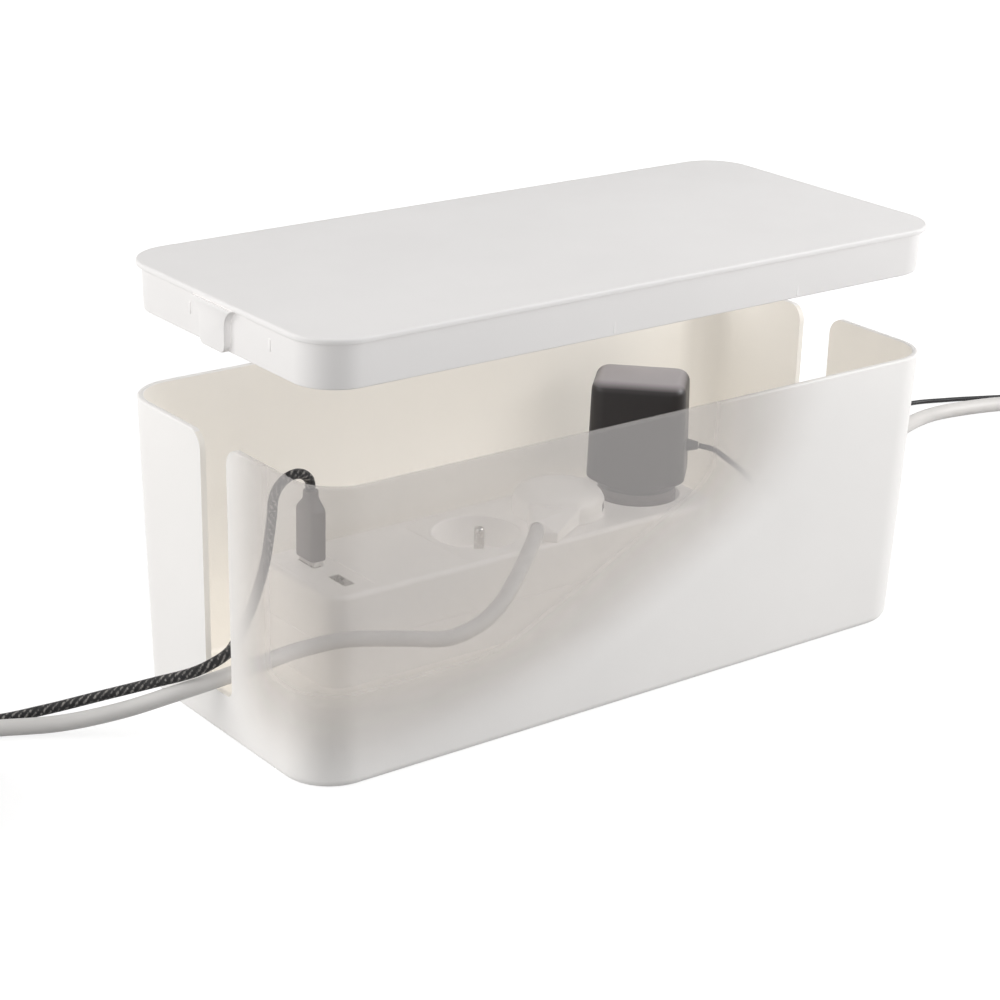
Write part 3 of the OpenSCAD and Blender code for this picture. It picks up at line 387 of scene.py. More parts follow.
class Nodes:
    """Builds a node material with a Principled shader."""

    def __init__(self, name):
        self.material = bpy.data.materials.new(name)
        self.material.use_nodes = True
        self.tree = self.material.node_tree
        self.shader = self.tree.nodes["Principled BSDF"]
        self.output = self.tree.nodes["Material Output"]

    def add(self, kind, **values):
        node = self.tree.nodes.new(kind)
        for key, value in values.items():
            if hasattr(node, key):
                setattr(node, key, value)
            else:
                node.inputs[key.replace("_", " ").title()].default_value = value
        return node

    def link(self, a, b):
        self.tree.links.new(a, b)

    def place(self, scale=(1, 1, 1), source="Object"):
        coordinates, mapping = self.add("ShaderNodeTexCoord"), self.add("ShaderNodeMapping")
        mapping.inputs["Scale"].default_value = scale
        self.link(coordinates.outputs[source], mapping.inputs["Vector"])
        return mapping.outputs["Vector"]

    def noise(self, place, scale, detail=2.0, roughness=0.5):
        node = self.add("ShaderNodeTexNoise", scale=scale, detail=detail, roughness=roughness)
        self.link(place, node.inputs["Vector"])
        return node.outputs["Fac"]

    def parts(self, vector):
        node = self.add("ShaderNodeSeparateXYZ")
        self.link(vector, node.inputs["Vector"])
        return node.outputs

    def ramp(self, factor, stops):
        node = self.add("ShaderNodeValToRGB")
        ramp = node.color_ramp
        while len(ramp.elements) < len(stops):
            ramp.elements.new(0.5)
        for element, (position, colour) in zip(ramp.elements, stops):
            element.position = position
            element.color = (*colour, 1)
        self.link(factor, node.inputs["Fac"])
        return node.outputs["Color"]

    def tones(self, factor, rgb, low, high):
        """A colour from low to high times as bright, as a noise goes up."""
        return self.ramp(factor, [(NOISE_LOW, shifted(rgb, low)), (NOISE_HIGH, shifted(rgb, high))])

    def map_range(self, value, ins, outs=(0, 1), interpolation="LINEAR"):
        node = self.add("ShaderNodeMapRange", interpolation_type=interpolation)
        for key, number in zip(("From Min", "From Max", "To Min", "To Max"), (*ins, *outs)):
            node.inputs[key].default_value = number
        self.link(value, node.inputs["Value"])
        return node.outputs["Result"]

    def math(self, operation, a, b):
        node = self.add("ShaderNodeMath", operation=operation)
        for value, socket in ((a, node.inputs[0]), (b, node.inputs[1])):
            if isinstance(value, (int, float)):
                socket.default_value = value
            else:
                self.link(value, socket)
        return node.outputs["Value"]

    def mixed(self, factor, a, b):
        node = self.add("ShaderNodeMix", data_type="RGBA")
        for value, socket in ((factor, node.inputs[0]), (a, node.inputs[6]), (b, node.inputs[7])):
            self.link(value, socket)
        return node.outputs[2]

    def base(self, colour):
        self.link(colour, self.shader.inputs["Base Color"])

    def roughness(self, factor, low, high):
        level = self.map_range(factor, (NOISE_LOW, NOISE_HIGH), (low, high))
        self.link(level, self.shader.inputs["Roughness"])

    def bump(self, height, strength, distance=FINE):
        node = self.add("ShaderNodeBump", strength=strength, distance=distance)
        self.link(height, node.inputs["Height"])
        self.link(node.outputs["Normal"], self.shader.inputs["Normal"])

    def set(self, **values):
        for key, value in values.items():
            self.shader.inputs[key.replace("_", " ")].default_value = value


def plastic(name, rgb, roughness, grain=900, tint=0.03, specular=0.45):
    """Moulded plastic: a fine spark-eroded grain, and slow changes of tone and gloss."""
    n = Nodes(name)
    place = n.place()
    n.base(n.tones(n.noise(place, 22, 3, 0.55), rgb, 1 - tint, 1 + tint))
    n.roughness(n.noise(place, 60, 3), roughness - 0.05, roughness + 0.06)
    n.bump(n.noise(place, grain, 2, 0.6), 0.15, 0.00025)
    n.set(IOR=1.47, Specular_IOR_Level=specular)
    return n.material


def painted_light_case_plastic(name):
    """Black plastic with painted light: its faces turn grey as they turn up, standing in for the light on its
    top.
    """
    n = Nodes(name)
    place = n.place()
    facing = n.parts(n.add("ShaderNodeNewGeometry").outputs["Normal"])
    slow = n.math("MULTIPLY", n.math("SUBTRACT", n.noise(place, 30, 3), 0.5), 0.08)
    # painted light: the case's colour greys as its faces turn up
    n.base(n.ramp(n.math("ADD", facing["Z"], slow), [(level, linear(rgb)) for level, rgb in CASE_PAINTED_LIGHT_TONES]))
    n.roughness(n.noise(place, 60, 3), 0.34, 0.44)
    n.bump(n.noise(place, 1000, 2, 0.6), 0.12)
    n.set(Specular_IOR_Level=0.45)
    return n.material


def metal(name, rgb, roughness, brushed=(1, 1, 1)):
    n = Nodes(name)
    place = n.place()
    n.base(n.tones(n.noise(place, 120, 3), rgb, 0.93, 1.04))
    n.roughness(n.noise(place, 300, 3), roughness - 0.05, roughness + 0.09)
    n.bump(n.noise(n.place(brushed), 900, 2), 0.05, FINEST)
    n.set(Metallic=1.0)
    return n.material


def rubber(name, rgb, roughness):
    """A cord's soft jacket: slow changes of tone and gloss, and a fine grain."""
    n = Nodes(name)
    place = n.place()
    n.base(n.tones(n.noise(place, 40, 3), rgb, 0.95, 1.05))
    n.roughness(n.noise(place, 150, 3), roughness - 0.06, roughness + 0.07)
    n.bump(n.noise(place, 700, 2), 0.12)
    n.set(Specular_IOR_Level=0.4)
    return n.material


def braid(name):
    """Two sets of threads that cross, black with grey flecks."""
    n = Nodes(name)
    bands = []
    for sign in (1, -1):
        wave = n.add("ShaderNodeTexWave", wave_type="BANDS", bands_direction="DIAGONAL", wave_profile="SIN")
        wave.inputs["Scale"].default_value = 1
        n.link(n.place((sign * WAVE_ROUND, WAVE_ALONG, 0), "UV"), wave.inputs["Vector"])
        bands.append(wave.outputs["Fac"])
    fleck = n.noise(n.place(FLECKS, "UV"), 1.0, 2, 0.6)
    tone = n.math("MULTIPLY", n.math("ADD", n.math("MULTIPLY", bands[0], 0.5), 0.5), fleck)
    n.base(n.ramp(tone, [(level, linear(rgb)) for level, rgb in BRAID_TONES]))
    n.bump(n.math("MAXIMUM", *bands), 0.5, 0.0003)
    n.set(Roughness=0.72, Specular_IOR_Level=0.3, Sheen_Weight=0.15, Sheen_Roughness=0.5)
    return n.material


def window_mask(n):
    """1 where the window is clear, falling to 0 towards the back, the right, the foot and below a slope."""
    x, y, z = n.parts(n.place())
    slope = n.math("SUBTRACT", z, n.math("MULTIPLY", n.math("ADD", x, SLOPE_START), SLOPE_RISE))
    clear = n.map_range(y, WINDOW_Y, interpolation="SMOOTHSTEP")
    for value, edge in ((x, WINDOW_X), (z, WINDOW_Z), (slope, WINDOW_SLOPE)):
        clear = n.math("MULTIPLY", clear, n.map_range(value, edge, interpolation="SMOOTHSTEP"))
    return clear


def add_window(n, slow, tone):
    """Greys the plastic where the window is clear, a painted shade, and lets light through it there."""
    clear = window_mask(n)
    # painted shade: the window's grey darkens the wall and the inside seen through it
    n.base(n.mixed(clear, tone, n.tones(slow, WINDOW_PAINTED_SHADE, 0.985, 1.015)))
    glass = n.add("ShaderNodeBsdfTransparent")
    glass.inputs["Color"].default_value = GLASS_TINT
    mix = n.add("ShaderNodeMixShader")
    n.link(n.math("MULTIPLY", clear, WINDOW_CLEAR), mix.inputs[0])
    n.link(n.shader.outputs["BSDF"], mix.inputs[1])
    n.link(glass.outputs["BSDF"], mix.inputs[2])
    n.link(mix.outputs["Shader"], n.output.inputs["Surface"])


def shell_plastic(name, rgb, window=False):
    """The smooth plastic of tub and lid. The tub's has a frosted window in its front, greyed with painted
    shade.
    """
    n = Nodes(name)
    place = n.place()
    slow = n.noise(place, 14, 3, 0.55)
    tone = n.tones(slow, rgb, 0.985, 1.015)
    n.base(tone)
    n.roughness(n.noise(place, 60, 3), 0.46, 0.56)
    n.bump(n.noise(place, 1100, 2, 0.6), 0.12)
    n.set(IOR=1.47, Specular_IOR_Level=0.35)
    if window:
        add_window(n, slow, tone)
    return n.material


TUB_OUT = shell_plastic("tub_outside", (238, 236, 234), window=True)
TUB_IN = shell_plastic("tub_inside", (238, 234, 227), window=True)
LID_WHITE = shell_plastic("lid_white", (236, 234, 233))
STRIP_WHITE = plastic("strip_white", (238, 235, 232), 0.42, grain=1300, tint=0.012)
PLUG_WHITE = plastic("plug_white", (240, 237, 234), 0.36, grain=1600, tint=0.012)
DARK = plastic("dark_plastic", (98, 92, 91), 0.46, grain=1200, tint=0.06)
BLACK = plastic("black_case", (34, 32, 34), 0.40, grain=1000, tint=0.08, specular=0.5)
CASE_WITH_PAINTED_LIGHT = painted_light_case_plastic("adapter_case")
# painted shade: the darker grey for the floors of the flat plug's side grips
GRIP_PAINTED_SHADE = plastic("grip_painted_shade", (124, 120, 117), 0.55, grain=1200, tint=0.05)
SHUTTER = plastic("shutter_white", (214, 210, 204), 0.5, grain=1200)
BOARD = plastic("board_green", (28, 92, 52), 0.42, grain=500, tint=0.12)
FERRITE = plastic("ferrite_tape", (196, 172, 88), 0.5, grain=400, tint=0.08)
CAPACITOR = plastic("capacitor_sleeve", (34, 40, 66), 0.3, grain=800, tint=0.05)
BROWN = plastic("brown_wire", (104, 62, 36), 0.42)
BLUE = plastic("blue_wire", (46, 96, 178), 0.42)
GREEN = plastic("green_wire", (138, 172, 56), 0.42)
BRASS = metal("brass", (206, 172, 104), 0.32, (1, 40, 40))
NICKEL = metal("nickel", (204, 202, 198), 0.26)
STEEL = metal("steel", (176, 176, 178), 0.34)
GREY_CORD = rubber("grey_cord", (202, 200, 198), 0.42)
BLACK_CORD = rubber("black_cord", (30, 29, 31), 0.4)
WHITE_CORD = rubber("white_cord", (212, 209, 206), 0.42)
BRAID = braid("braid")

MATERIALS = {
    "white_shell": LID_WHITE, "strip_white": STRIP_WHITE, "plug_white": PLUG_WHITE, "dark_plastic": DARK,
    "black_gloss": BLACK, "shutter_white": SHUTTER, "brass": BRASS, "nickel": NICKEL, "steel": STEEL,
    "braid": BRAID, "grey_cord": GREY_CORD, "black_cord": BLACK_CORD, "white_cord": WHITE_CORD,
    "board_green": BOARD, "ferrite": FERRITE, "capacitor": CAPACITOR, "brown_wire": BROWN,
    "blue_wire": BLUE, "green_wire": GREEN,
}
SLOT_OF = {row["node"]: row["material_slot"] for row in frame["record"]["subparts"]}

for name, node in nodes.items():
    node.data.materials.clear()
    node.data.materials.append(STRIP_WHITE if name == "usb_port_tongues" else MATERIALS[SLOT_OF[name]])


def stands_for(piece, body, *names):
    """Hides the model's nodes that a piece stands for, and hangs the piece on the body it rides on."""
    if body:
        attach(piece, body)
    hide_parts(*names)
    return piece


# The cords: the tube and its coil are one piece of the real length.
usb_tube = tube("usb_cord_braided", usb_line, USB_D, 16, BRAID)
plug_tube = tube("plug_cord_grey", plug_line, PLUG_D, 18, GREY_CORD)
dc_tube = tube("adapter_cord_black", dc_line, DC_D, 12, BLACK_CORD)
lead_tube = tube("strip_lead_white", lead_line, LEAD_D, 18, WHITE_CORD)
usb_cord = stands_for(usb_tube, None, "usb_cord", "usb_cord_coil")
plug_cord = stands_for(plug_tube, None, "plug_cord", "plug_cord_coil")
dc_cord = stands_for(dc_tube, None, "dc_cord", "dc_cord_coil")
lead = stands_for(lead_tube, "box", "strip_lead", "strip_lead_coil")


# ---------- tub and lid ----------

LEVELS = (35, 70, 105)      # rings on the tub's walls between foot and rim


def half_l(z):
    """Half the tub's length at height z."""
    return BOX_L / 2 - END_DRAFT * (1 - z / BOX_H)


def half_w(z):
    """Half the tub's width at height z."""
    return BOX_W / 2 - SIDE_DRAFT * (1 - z / BOX_H)


def tub_ring(z, inset, n=20):
    l = BOX_L - 2 * (END_DRAFT * (1 - z / BOX_H) + inset)
    w = BOX_W - 2 * (SIDE_DRAFT * (1 - z / BOX_H) + inset)
    return at(rounded(l, w, CORNER_R - inset, n), z)


def slot_outline(z0, z1, gap):
    """The cable slot's outline as (y, z), from the sill up one side and down the other."""
    half, r, flare = SLOT_W / 2 - gap, SLOT_R - gap, FLARE_R + gap
    flare_y, flare_z = SLOT_W / 2 + FLARE_R, BOX_H - FLARE_R
    right = [(half - r + r * math.sin(a), z0 + r - r * math.cos(a)) for a in quarter()]
    flared = [(flare_y - flare * math.cos(a), flare_z + flare * math.sin(a)) for a in quarter(12)]
    right += [(y, z) for y, z in flared if z < z1]
    right.append((right[-1][0], z1))
    return right + [(-y, z) for y, z in reversed(right)]


def on_outside(p):
    """Whether a point, in mm, is on the tub's outer skin, its foot or its rim."""
    skin_in, corner_in, foot_z, rim_z = 0.25, 0.8, 1, BOX_H - 1.2
    dx = max(abs(p.x) - (half_l(p.z) - skin_in - CORNER_R), 0)
    dy = max(abs(p.y) - (half_w(p.z) - skin_in - CORNER_R), 0)
    return math.hypot(dx, dy) > CORNER_R - corner_in or p.z < foot_z or p.z > rim_z


def build_tub():
    lip, inner_r, past = 0.5, FOOT_R / 2, 5
    rings = [tub_ring(FOOT_R * (1 - math.cos(a)), FOOT_R * (1 - math.sin(a))) for a in quarter()]
    rings += [tub_ring(z, 0) for z in LEVELS]
    rings += [tub_ring(BOX_H - RIM_R * (1 - math.sin(a)), RIM_R * (1 - math.cos(a))) for a in quarter(5)]
    rings += [tub_ring(BOX_H - lip * (1 - math.sin(a)), WALL - lip * (1 - math.cos(a)))
              for a in reversed(quarter(4))]
    rings += [tub_ring(z, WALL) for z in reversed(LEVELS)]
    rings += [tub_ring(FLOOR_T + inner_r * (1 - math.cos(a)), WALL + inner_r * (1 - math.sin(a)))
              for a in reversed(quarter(6))]
    tub = new_object("tub_shell", loft("tub", rings), TUB_OUT)
    tub.data.materials.append(TUB_IN)
    outline = slot_outline(SILL_Z, BOX_H + 3, 0)
    cut(tub, loft("slots", [[(x, y, z) for y, z in outline] for x in (-BOX_L / 2 - past, BOX_L / 2 + past)]))
    for face in tub.data.polygons:
        face.material_index = 0 if on_outside(face.center / MM) else 1
    stands_for(shade(tub), "box", "tub")


def lid_shell(skirt, skirt_z):
    """Plate and skirt in one skin: from the top's edge down the outside, round the foot, up the inside."""
    seat, edge, foot, inner_r = BOX_H, 0.3, 0.7, 1
    rings = [tub_ring(seat + LID_T - RIM_R * (1 - math.sin(a)), LID_INSET + RIM_R * (1 - math.cos(a)))
             for a in reversed(quarter(5))]
    rings += [tub_ring(seat + edge - edge * math.sin(a), LID_INSET + edge * (1 - math.cos(a)))
              for a in quarter(3)]
    rings += [tub_ring(seat, skirt - 0.5), tub_ring(seat - 0.4, skirt - 0.05), tub_ring(seat - 0.8, skirt)]
    rings += [tub_ring(skirt_z + foot - foot * math.sin(a), skirt + foot * (1 - math.cos(a)))
              for a in quarter(4)]
    rings += [tub_ring(skirt_z + foot - foot * math.sin(a), skirt + SKIRT_T - foot * (1 - math.cos(a)))
              for a in reversed(quarter(4))]
    inside = skirt + SKIRT_T + inner_r
    rings += [tub_ring(seat - inner_r + inner_r * math.sin(a), inside - inner_r * math.cos(a))
              for a in quarter(4)]
    return loft("lid", rings)


def lid_tongue(side, skirt, skirt_z):
    """The tongue that fills a slot's top, in slices from the skirt out to its softened face."""
    slices = ((skirt + 0.4, 0), (0.55, 0), (0.25, 0.15), (0.15, 0.4))       # inset from the tub's end, shrink
    outline = slot_outline(skirt_z, BOX_H + 0.01, TONGUE_GAP)
    rows = []
    for inset, shrink in slices:
        rows.append([(side * (half_l(z) - inset), y - math.copysign(shrink, y),
                      z + (shrink if z < skirt_z + 3 else 0)) for y, z in outline])
    return loft("tongue", rows)


def lid_nub(x, y, z0, z1):
    edge = 0.2
    levels = ((z0, edge), (z0 + 0.3, 0), (z1 - 0.3, 0), (z1, edge))
    return loft("nub", [at(rounded(1 - 2 * s, 1.4 - 2 * s, 0.3, 4), z, x, y) for z, s in levels])


def build_lid():
    seat, skirt = BOX_H, WALL + SKIRT_GAP
    skirt_z = seat - SKIRT_H
    nub_x = -half_l(seat - 10) + skirt
    rib_y = -half_w(skirt_z) + skirt
    pieces = [lid_shell(skirt, skirt_z)]
    pieces += [lid_tongue(side, skirt, skirt_z) for side in (-1, 1)]
    pieces += [lid_nub(nub_x + 0.2, y, seat - 10, seat - 5) for y in (21, -38)]
    for x in (-21, 79):
        rib = [at(rounded(1.2, 1.2, 0.3, 4), z, x, rib_y + 0.3) for z in (skirt_z + 1.2, seat)]
        pieces.append(loft("rib", rib))
    mesh = joined("lid", pieces)
    mesh.transform(Matrix.Translation((0, 0, LID_RISE * MM)))
    stands_for(shade(new_object("lid_shell", mesh, LID_WHITE)), "lid", "lid")


build_tub()
build_lid()


# ---------- strip ----------

def strip_ring(z, inset):
    return at(rounded(STRIP_L - 2 * inset, STRIP_W - 2 * inset, STRIP_R - inset, 14), z, STRIP_X, STRIP_Y)


def strip_windows(name, sizes, z0, z1):
    """Upright rounded blocks, as (x, length, width, corner), to cut openings into the cover."""
    return [loft(name, [at(rounded(l, w, r, 6), z, x, STRIP_Y) for z in (z0, z1)]) for x, l, w, r in sizes]


def build_strip_cover():
    edge, top_t, middle = 0.35, 3.4, SOCKET_XS[1]
    rings = [strip_ring(SPLIT_Z, edge), strip_ring(SPLIT_Z + edge, 0)]
    rings += [strip_ring(STRIP_TOP - COVER_EDGE * (1 - math.sin(a)), COVER_EDGE * (1 - math.cos(a)))
              for a in quarter(8)]
    cover = new_object("strip_cover_shell", loft("cover", rings), STRIP_WHITE)
    hollow = [strip_ring(SPLIT_Z - 2, COVER_WALL), strip_ring(STRIP_TOP - top_t, COVER_WALL)]
    cut(cover, loft("hollow", hollow))
    windows = (
        (PANEL_X + SEAM, 22.4, 50.3, 1),
        (middle, FACE_L + 2 * SEAM, FACE_W + 2 * SEAM, FACE_R + SEAM),
    )
    seats = ((PANEL_X, 17.8, 47, 1), (middle, FACE_L - 2, FACE_W - 2, FACE_R - 1))
    holes = strip_windows("window", windows, STRIP_TOP - PLATE_T, STRIP_TOP + 1)
    holes += strip_windows("seat", seats, STRIP_TOP - 5, STRIP_TOP - 1)
    lead_y, lead_z = 18, 22
    gland = [[(x, lead_y + p, lead_z + q) for p, q in circle(6, 48)] for x in (108, 114)]
    holes.append(loft("gland", gland))
    for mesh in holes:
        cut(cover, mesh)
    stands_for(shade(cover, 30), "box", "strip_cover")


def build_socket_face():
    plate = rounded_block(FACE_L, FACE_W, STRIP_TOP - PLATE_T, STRIP_TOP, FACE_R, SOCKET_XS[1], STRIP_Y, 0.15)
    face = new_object("socket_face_plate", loft("face", plate), STRIP_WHITE)
    for x in SOCKET_XS:
        hole = [at(circle(RECESS_R + 1.65), z, x, STRIP_Y) for z in (STRIP_TOP - 4, STRIP_TOP + 2)]
        cut(face, loft("hole", hole))
    stands_for(shade(face, 30), "box", "socket_face")


def cup_profile():
    """A cup's section as (radius, height), with a collar outside, a round lip and a cove at its floor."""
    r, floor, top, lip_r, cove_r = RECESS_R, RECESS_FLOOR, STRIP_TOP, 0.8, 0.7
    profile = [
        (0.01, floor - 2), (r + 1.2, floor - 2), (r + 1.6, floor - 1.6), (r + 1.6, top - 3.2),
        (r + 2.6, top - 3.2), (r + 2.6, top - 2.2), (r + 1.6, top - 2.2), (r + 1.6, top - 0.15),
        (r + 1.45, top),
    ]
    profile += [(r + lip_r - lip_r * math.sin(a), top - lip_r + lip_r * math.cos(a)) for a in quarter(6)]
    profile += [(r - cove_r + cove_r * math.cos(a), floor + cove_r - cove_r * math.sin(a))
                for a in quarter(5)]
    return profile + [(0.01, floor)]


def build_socket_cups():
    """Three cups, each with two holes for the pins and one for the earth pin."""
    floor, pin_r, earth_r = RECESS_FLOOR, 2.55, 2.4
    s = math.sin(math.radians(45))
    pin, earth = 9.5 * s, 10 * s
    holes = ((-pin, pin, pin_r, 0.35), (pin, -pin, pin_r, 0.35), (earth, earth, earth_r, 0.1))
    meshes = []
    for x in SOCKET_XS:
        rings = [at(circle(q), z, x, STRIP_Y) for q, z in cup_profile()]
        cup = new_object("cup", loft("cup", rings), STRIP_WHITE)
        for dx, dy, q, lip in holes:
            steps = ((q, floor - 4), (q, floor - lip), (q + lip, floor), (q + lip, floor + 1))
            cut(cup, loft("hole", [at(circle(p, 32), z, x + dx, STRIP_Y + dy) for p, z in steps]))
        meshes.append(cup.data)
        bpy.data.objects.remove(cup)
    cups = new_object("socket_cup_set", joined("cups", meshes), STRIP_WHITE)
    stands_for(shade(cups, 30), "box", "socket_cups")


build_strip_cover()
build_socket_face()
build_socket_cups()


# ---------- USB plug, flat plug and adapter ----------

CORD_X, CORD_Z = -5, CAP_Z + 4.4        # the cord's axis in the flat plug's beak
GRIP_FACE = (19.5, 21.3)                # how far from the cap's axis the floor of its side grips lies, where painted shade goes


def build_usb_grip():
    """An overmoulded grip: a block with a round foot that narrows into the cord's sleeve."""
    z0, z1, w, l, corner, foot, waist = 47.5, 79, 8, 14, 2, 1.6, 22.2
    rows = []
    for a in quarter(4):
        inset = foot * (1 - math.sin(a))
        rows.append((z0 + 0.8 * (1 - math.cos(a)), w - inset, l - inset, corner))
    rows += [(z0 + h, w, l, corner) for h in (8, 16, waist)]
    for k in range(1, 9):
        t = k / 8
        s = t * t * (3 - 2 * t)
        rows.append((z0 + waist + 6.6 * t, w - 1.6 * s, l - 7 * s, corner + 1.1 * s))
    rows += [(z1 - 0.5, 6.4, 7, 3.1), (z1 - 0.12, 6.1, 6.7, 2.9), (z1, 5.4, 6, 2.6)]
    rings = [at(rounded(width, length, r, 8), z, USB_X, USB_PLUG_Y) for z, width, length, r in rows]
    grip = new_object("usb_plug_overmould", loft("grip", rings), DARK)
    stands_for(shade(grip, 40), "usb_plug", "usb_plug_grip")


def at_socket(mesh, i):
    place = Matrix.Translation((SOCKET_XS[i] * MM, STRIP_Y * MM, 0))
    mesh.transform(place @ Matrix.Rotation(math.radians(SOCKET_TURN), 4, "Z"))


def cap_mesh():
    """The flat plug's round body: a low wall and a shallow dome."""
    r, z = CAP_R, CAP_Z
    wall = [(0.01, z), (r - 0.4, z), (r - 0.1, z + 0.1), (r, z + 0.4), (r, z + 5.2)]
    dome = [
        (r, z + 5.5), (r - 0.8, z + 8.2), (r - 2.8, z + 10.4), (r - 6, z + 12), (r - 11, z + 12.8),
        (0.01, z + 13),
    ]
    profile = wall + [(x, h) for x, _, h in smooth_line([(x, 0, h) for x, h in dome], 0.8)]
    return loft("cap", [at(circle(max(x, 0.01), 120), h) for x, h in profile])


def beak_point(r, a, y):
    return (CORD_X + r * math.cos(a), y, CORD_Z + r * math.sin(a))


def beak_mesh():
    """The beak: from a wide root in the cap to a narrow tip with a round end about the cord."""
    z = CAP_Z
    root = rounded_block(25, 6, z, z + 9, 1.5, 0, -13.5, 1.2)
    tip = rounded_block(7, 2, z + 0.4, z + 5.4, 0.8, 1.5, -41, 0.5)
    points = [p for row in root + tip for p in row]
    points += [beak_point(4.2, a, y) for a in np.linspace(0, 2 * math.pi, 32) for y in (-35, -37)]
    return hull_of("beak", points)


def beak_rib(k):
    first_y, pitch, drop, sink = -20.3, 2.6, 0.55, 0.05
    low, high = CAP_Z + 7.6 - drop * k, CAP_Z + 9.6 - drop * k
    return loft("rib", rounded_block(8, 1.1, low, high, 0.4, 0, first_y - pitch * k + sink, 0.3))


def build_cap():
    z = CAP_Z
    cap = new_object("flat_plug_cap_shell", cap_mesh(), PLUG_WHITE)
    cut(cap, beak_mesh(), "UNION")
    for k in range(4):
        cut(cap, beak_rib(k), "UNION")
    angles = np.linspace(0, 2 * math.pi, 32, endpoint=False)
    cut(cap, loft("bore", [[beak_point(3.6, a, y) for a in angles] for y in (-36.6, -44)]))
    for side in (-1, 1):
        cut(cap, loft("grip", [at(rounded(2.4, 9, 0.6, 4), h, side * CAP_R, 0) for h in (z + 1.2, z + 6.2)]))
    remeshed(cap, voxel=0.34, smooth=3)
    # The floors of the side grips get painted shade.
    cap.data.materials.append(GRIP_PAINTED_SHADE)
    for face in cap.data.polygons:
        x, y, h = face.center / MM
        if abs(y) < 4.4 and z + 1.3 < h < z + 6.1 and GRIP_FACE[0] < math.hypot(x, y) < GRIP_FACE[1]:
            face.material_index = 1
    at_socket(cap.data, 1)
    stands_for(cap, "flat_plug", "flat_plug_cap")


def between(a, b, t):
    return [tuple((1 - t) * p + t * q for p, q in zip(u, v)) for u, v in zip(a, b)]


def build_case():
    """The adapter's case: a round neck that opens into a tall rounded block with a domed top."""
    n, l, w, corner, neck_r, neck_z, rise, top_z, top_r = 12, 46, 36, 8, 18.7, 50.3, 6, 103, 5
    angles = [math.pi / 2 * (quadrant + k / n) for quadrant in range(4) for k in range(n + 1)]
    neck = [(neck_r * math.cos(a), neck_r * math.sin(a)) for a in angles]
    outline = rounded(l, w, corner, n)
    rows = [at([(0.98 * x, 0.98 * y) for x, y in neck], 49.3), at(neck, 49.6)]
    for t in np.linspace(0, 1, 9):
        rows.append(at(between(neck, outline, (1 - math.cos(math.pi * t)) / 2), neck_z + rise * t))
    for s, z in ((0.3, 68), (0.6, 82), (0.9, 95)):
        rows.append(at(rounded(l - 2 * s, w - 2 * s, corner - s, n), z))
    for a in quarter(8):
        s = 1 + top_r * (1 - math.cos(a))
        z = top_z - top_r * (1 - math.sin(a))
        rows.append(at(rounded(l - 2 * s, w - 2 * s, max(corner - s, 1.2), n), z))
    case = new_object("adapter_case_shell", loft("case", rows), CASE_WITH_PAINTED_LIGHT)
    at_socket(case.data, 2)
    stands_for(shade(case, 50), "adapter", "adapter_case")


build_usb_grip()
build_cap()
build_case()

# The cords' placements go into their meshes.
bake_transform(usb_cord)
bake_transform(plug_cord)
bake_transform(dc_cord)


# ---------- floor and light ----------

FLOOR_HALF = 6                                      # metres
FLOOR_PLAIN, FLOOR_LIT = 0.45, 0.42                 # how pale it is to the object, and to the camera
GLOW_REACH, GLOW_LEVEL = (0.3, 0.9), (0.66, 1.0)    # metres from the middle, and its own light there
WORLD_LIGHT, WORLD_SEEN = 0.33, 1.0
WARM = (1, 0.995, 0.985)
LAMP_AIM = Vector((0, 0, 0.08))                     # metres


def grey(level):
    return (level, level, level, 1)


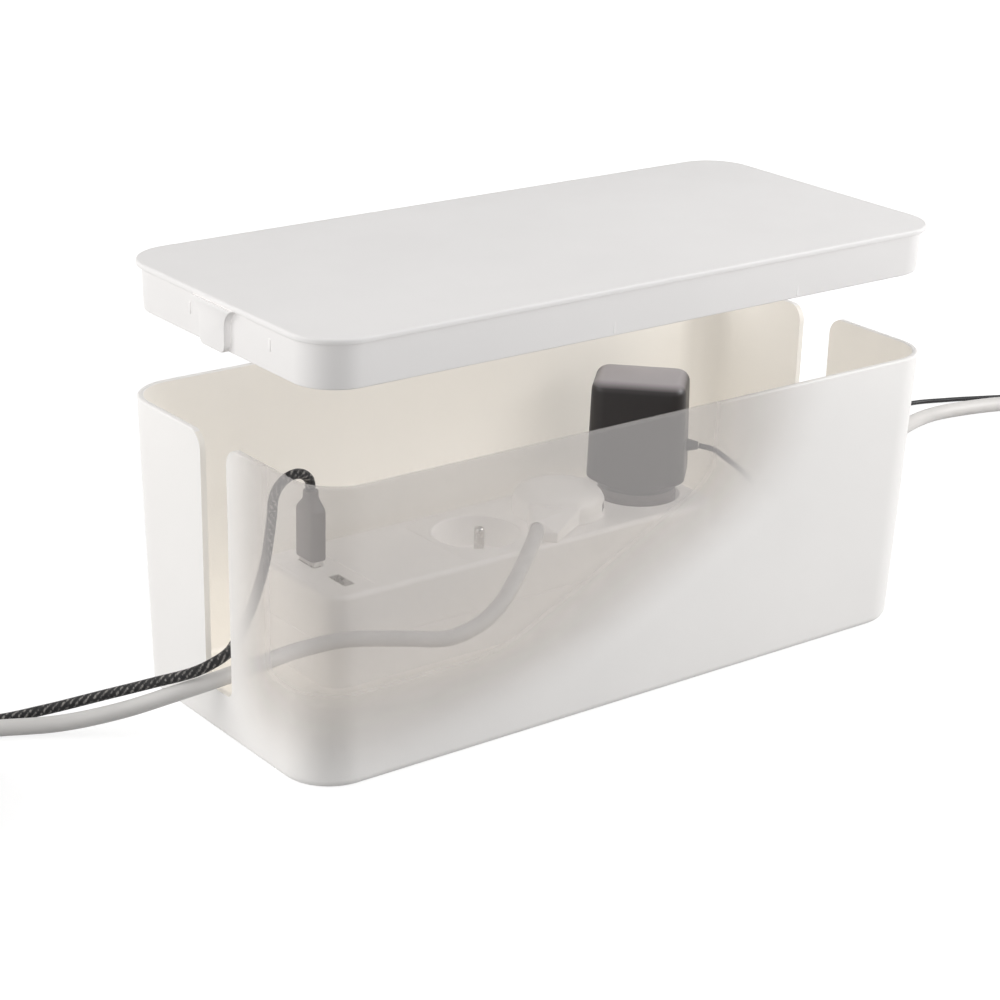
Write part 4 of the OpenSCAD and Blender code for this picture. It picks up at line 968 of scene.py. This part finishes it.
def add_floor():
    """White to the camera, with the object's soft shadow near it. Everything else sees a plain grey floor."""
    s = FLOOR_HALF
    mesh = bpy.data.meshes.new("floor")
    mesh.from_pydata([(-s, -s, 0), (s, -s, 0), (s, s, 0), (-s, s, 0)], [], [(0, 1, 2, 3)])
    n = Nodes("floor")
    n.tree.nodes.remove(n.shader)
    plain, lit = n.add("ShaderNodeBsdfDiffuse"), n.add("ShaderNodeBsdfDiffuse")
    plain.inputs["Color"].default_value = grey(FLOOR_PLAIN)
    lit.inputs["Color"].default_value = grey(FLOOR_LIT)
    kinds = ("Emission", "LightPath", "MixShader", "AddShader")
    glow, path, pick, seen = (n.add("ShaderNode" + k) for k in kinds)
    reach = n.add("ShaderNodeVectorMath", operation="LENGTH")
    n.link(n.place(), reach.inputs[0])
    n.link(n.map_range(reach.outputs["Value"], GLOW_REACH, GLOW_LEVEL), glow.inputs["Strength"])
    direct = n.math("MAXIMUM", path.outputs["Is Camera Ray"], path.outputs["Is Glossy Ray"])
    n.link(n.math("MAXIMUM", direct, path.outputs["Is Transmission Ray"]), pick.inputs[0])
    n.link(lit.outputs[0], seen.inputs[0])
    n.link(glow.outputs[0], seen.inputs[1])
    n.link(plain.outputs[0], pick.inputs[1])
    n.link(seen.outputs[0], pick.inputs[2])
    n.link(pick.outputs[0], n.output.inputs["Surface"])
    new_object("floor", mesh, n.material)


def add_world():
    """Plain white to the camera and in reflections, and a lower even light on the object."""
    world = bpy.data.worlds.new("studio")
    bpy.context.scene.world = world
    world.use_nodes = True
    tree = world.node_tree
    tree.nodes.clear()
    kinds = ("OutputWorld", "Background", "Background", "MixShader", "LightPath", "Math")
    out, low, high, pick, path, either = (tree.nodes.new("ShaderNode" + k) for k in kinds)
    for node, strength in ((low, WORLD_LIGHT), (high, WORLD_SEEN)):
        node.inputs["Color"].default_value = grey(1)
        node.inputs["Strength"].default_value = strength
    either.operation = "MAXIMUM"
    link = tree.links.new
    link(path.outputs["Is Camera Ray"], either.inputs[0])
    link(path.outputs["Is Glossy Ray"], either.inputs[1])
    link(either.outputs[0], pick.inputs[0])
    link(low.outputs[0], pick.inputs[1])
    link(high.outputs[0], pick.inputs[2])
    link(pick.outputs[0], out.inputs["Surface"])


def add_lamp(name, way, size, level, shadow, colour=(1, 1, 1), distance=2.2):
    """A round softbox. At level 1 it shows a white surface that faces it as white."""
    data = bpy.data.lights.new(name, "AREA")
    data.shape = "DISK"
    data.size = size
    data.energy = level * (math.pi * distance) ** 2
    data.color = colour
    data.use_shadow = shadow
    lamp = bpy.data.objects.new(name, data)
    bpy.context.scene.collection.objects.link(lamp)
    lamp.location = Vector(way).normalized() * distance + LAMP_AIM
    lamp.rotation_mode = "QUATERNION"
    lamp.rotation_quaternion = Vector(way).to_track_quat("Z", "Y")


add_floor()
add_world()
add_lamp("left", (-0.8, 0.5, 0.36), size=1.6, level=0.40, shadow=True, colour=WARM)
add_lamp("left_fill", (-0.85, 0.03, 0.36), size=1.6, level=0.37, shadow=False, colour=WARM)
add_lamp("front", (0.8, -0.72, 0.52), size=1.0, level=0.66, shadow=False, distance=1.5)
add_lamp("front_soft", (0.6, -0.7, 0.55), size=1.2, level=0.14, shadow=True)
bpy.context.scene.view_settings.view_transform = "Standard"
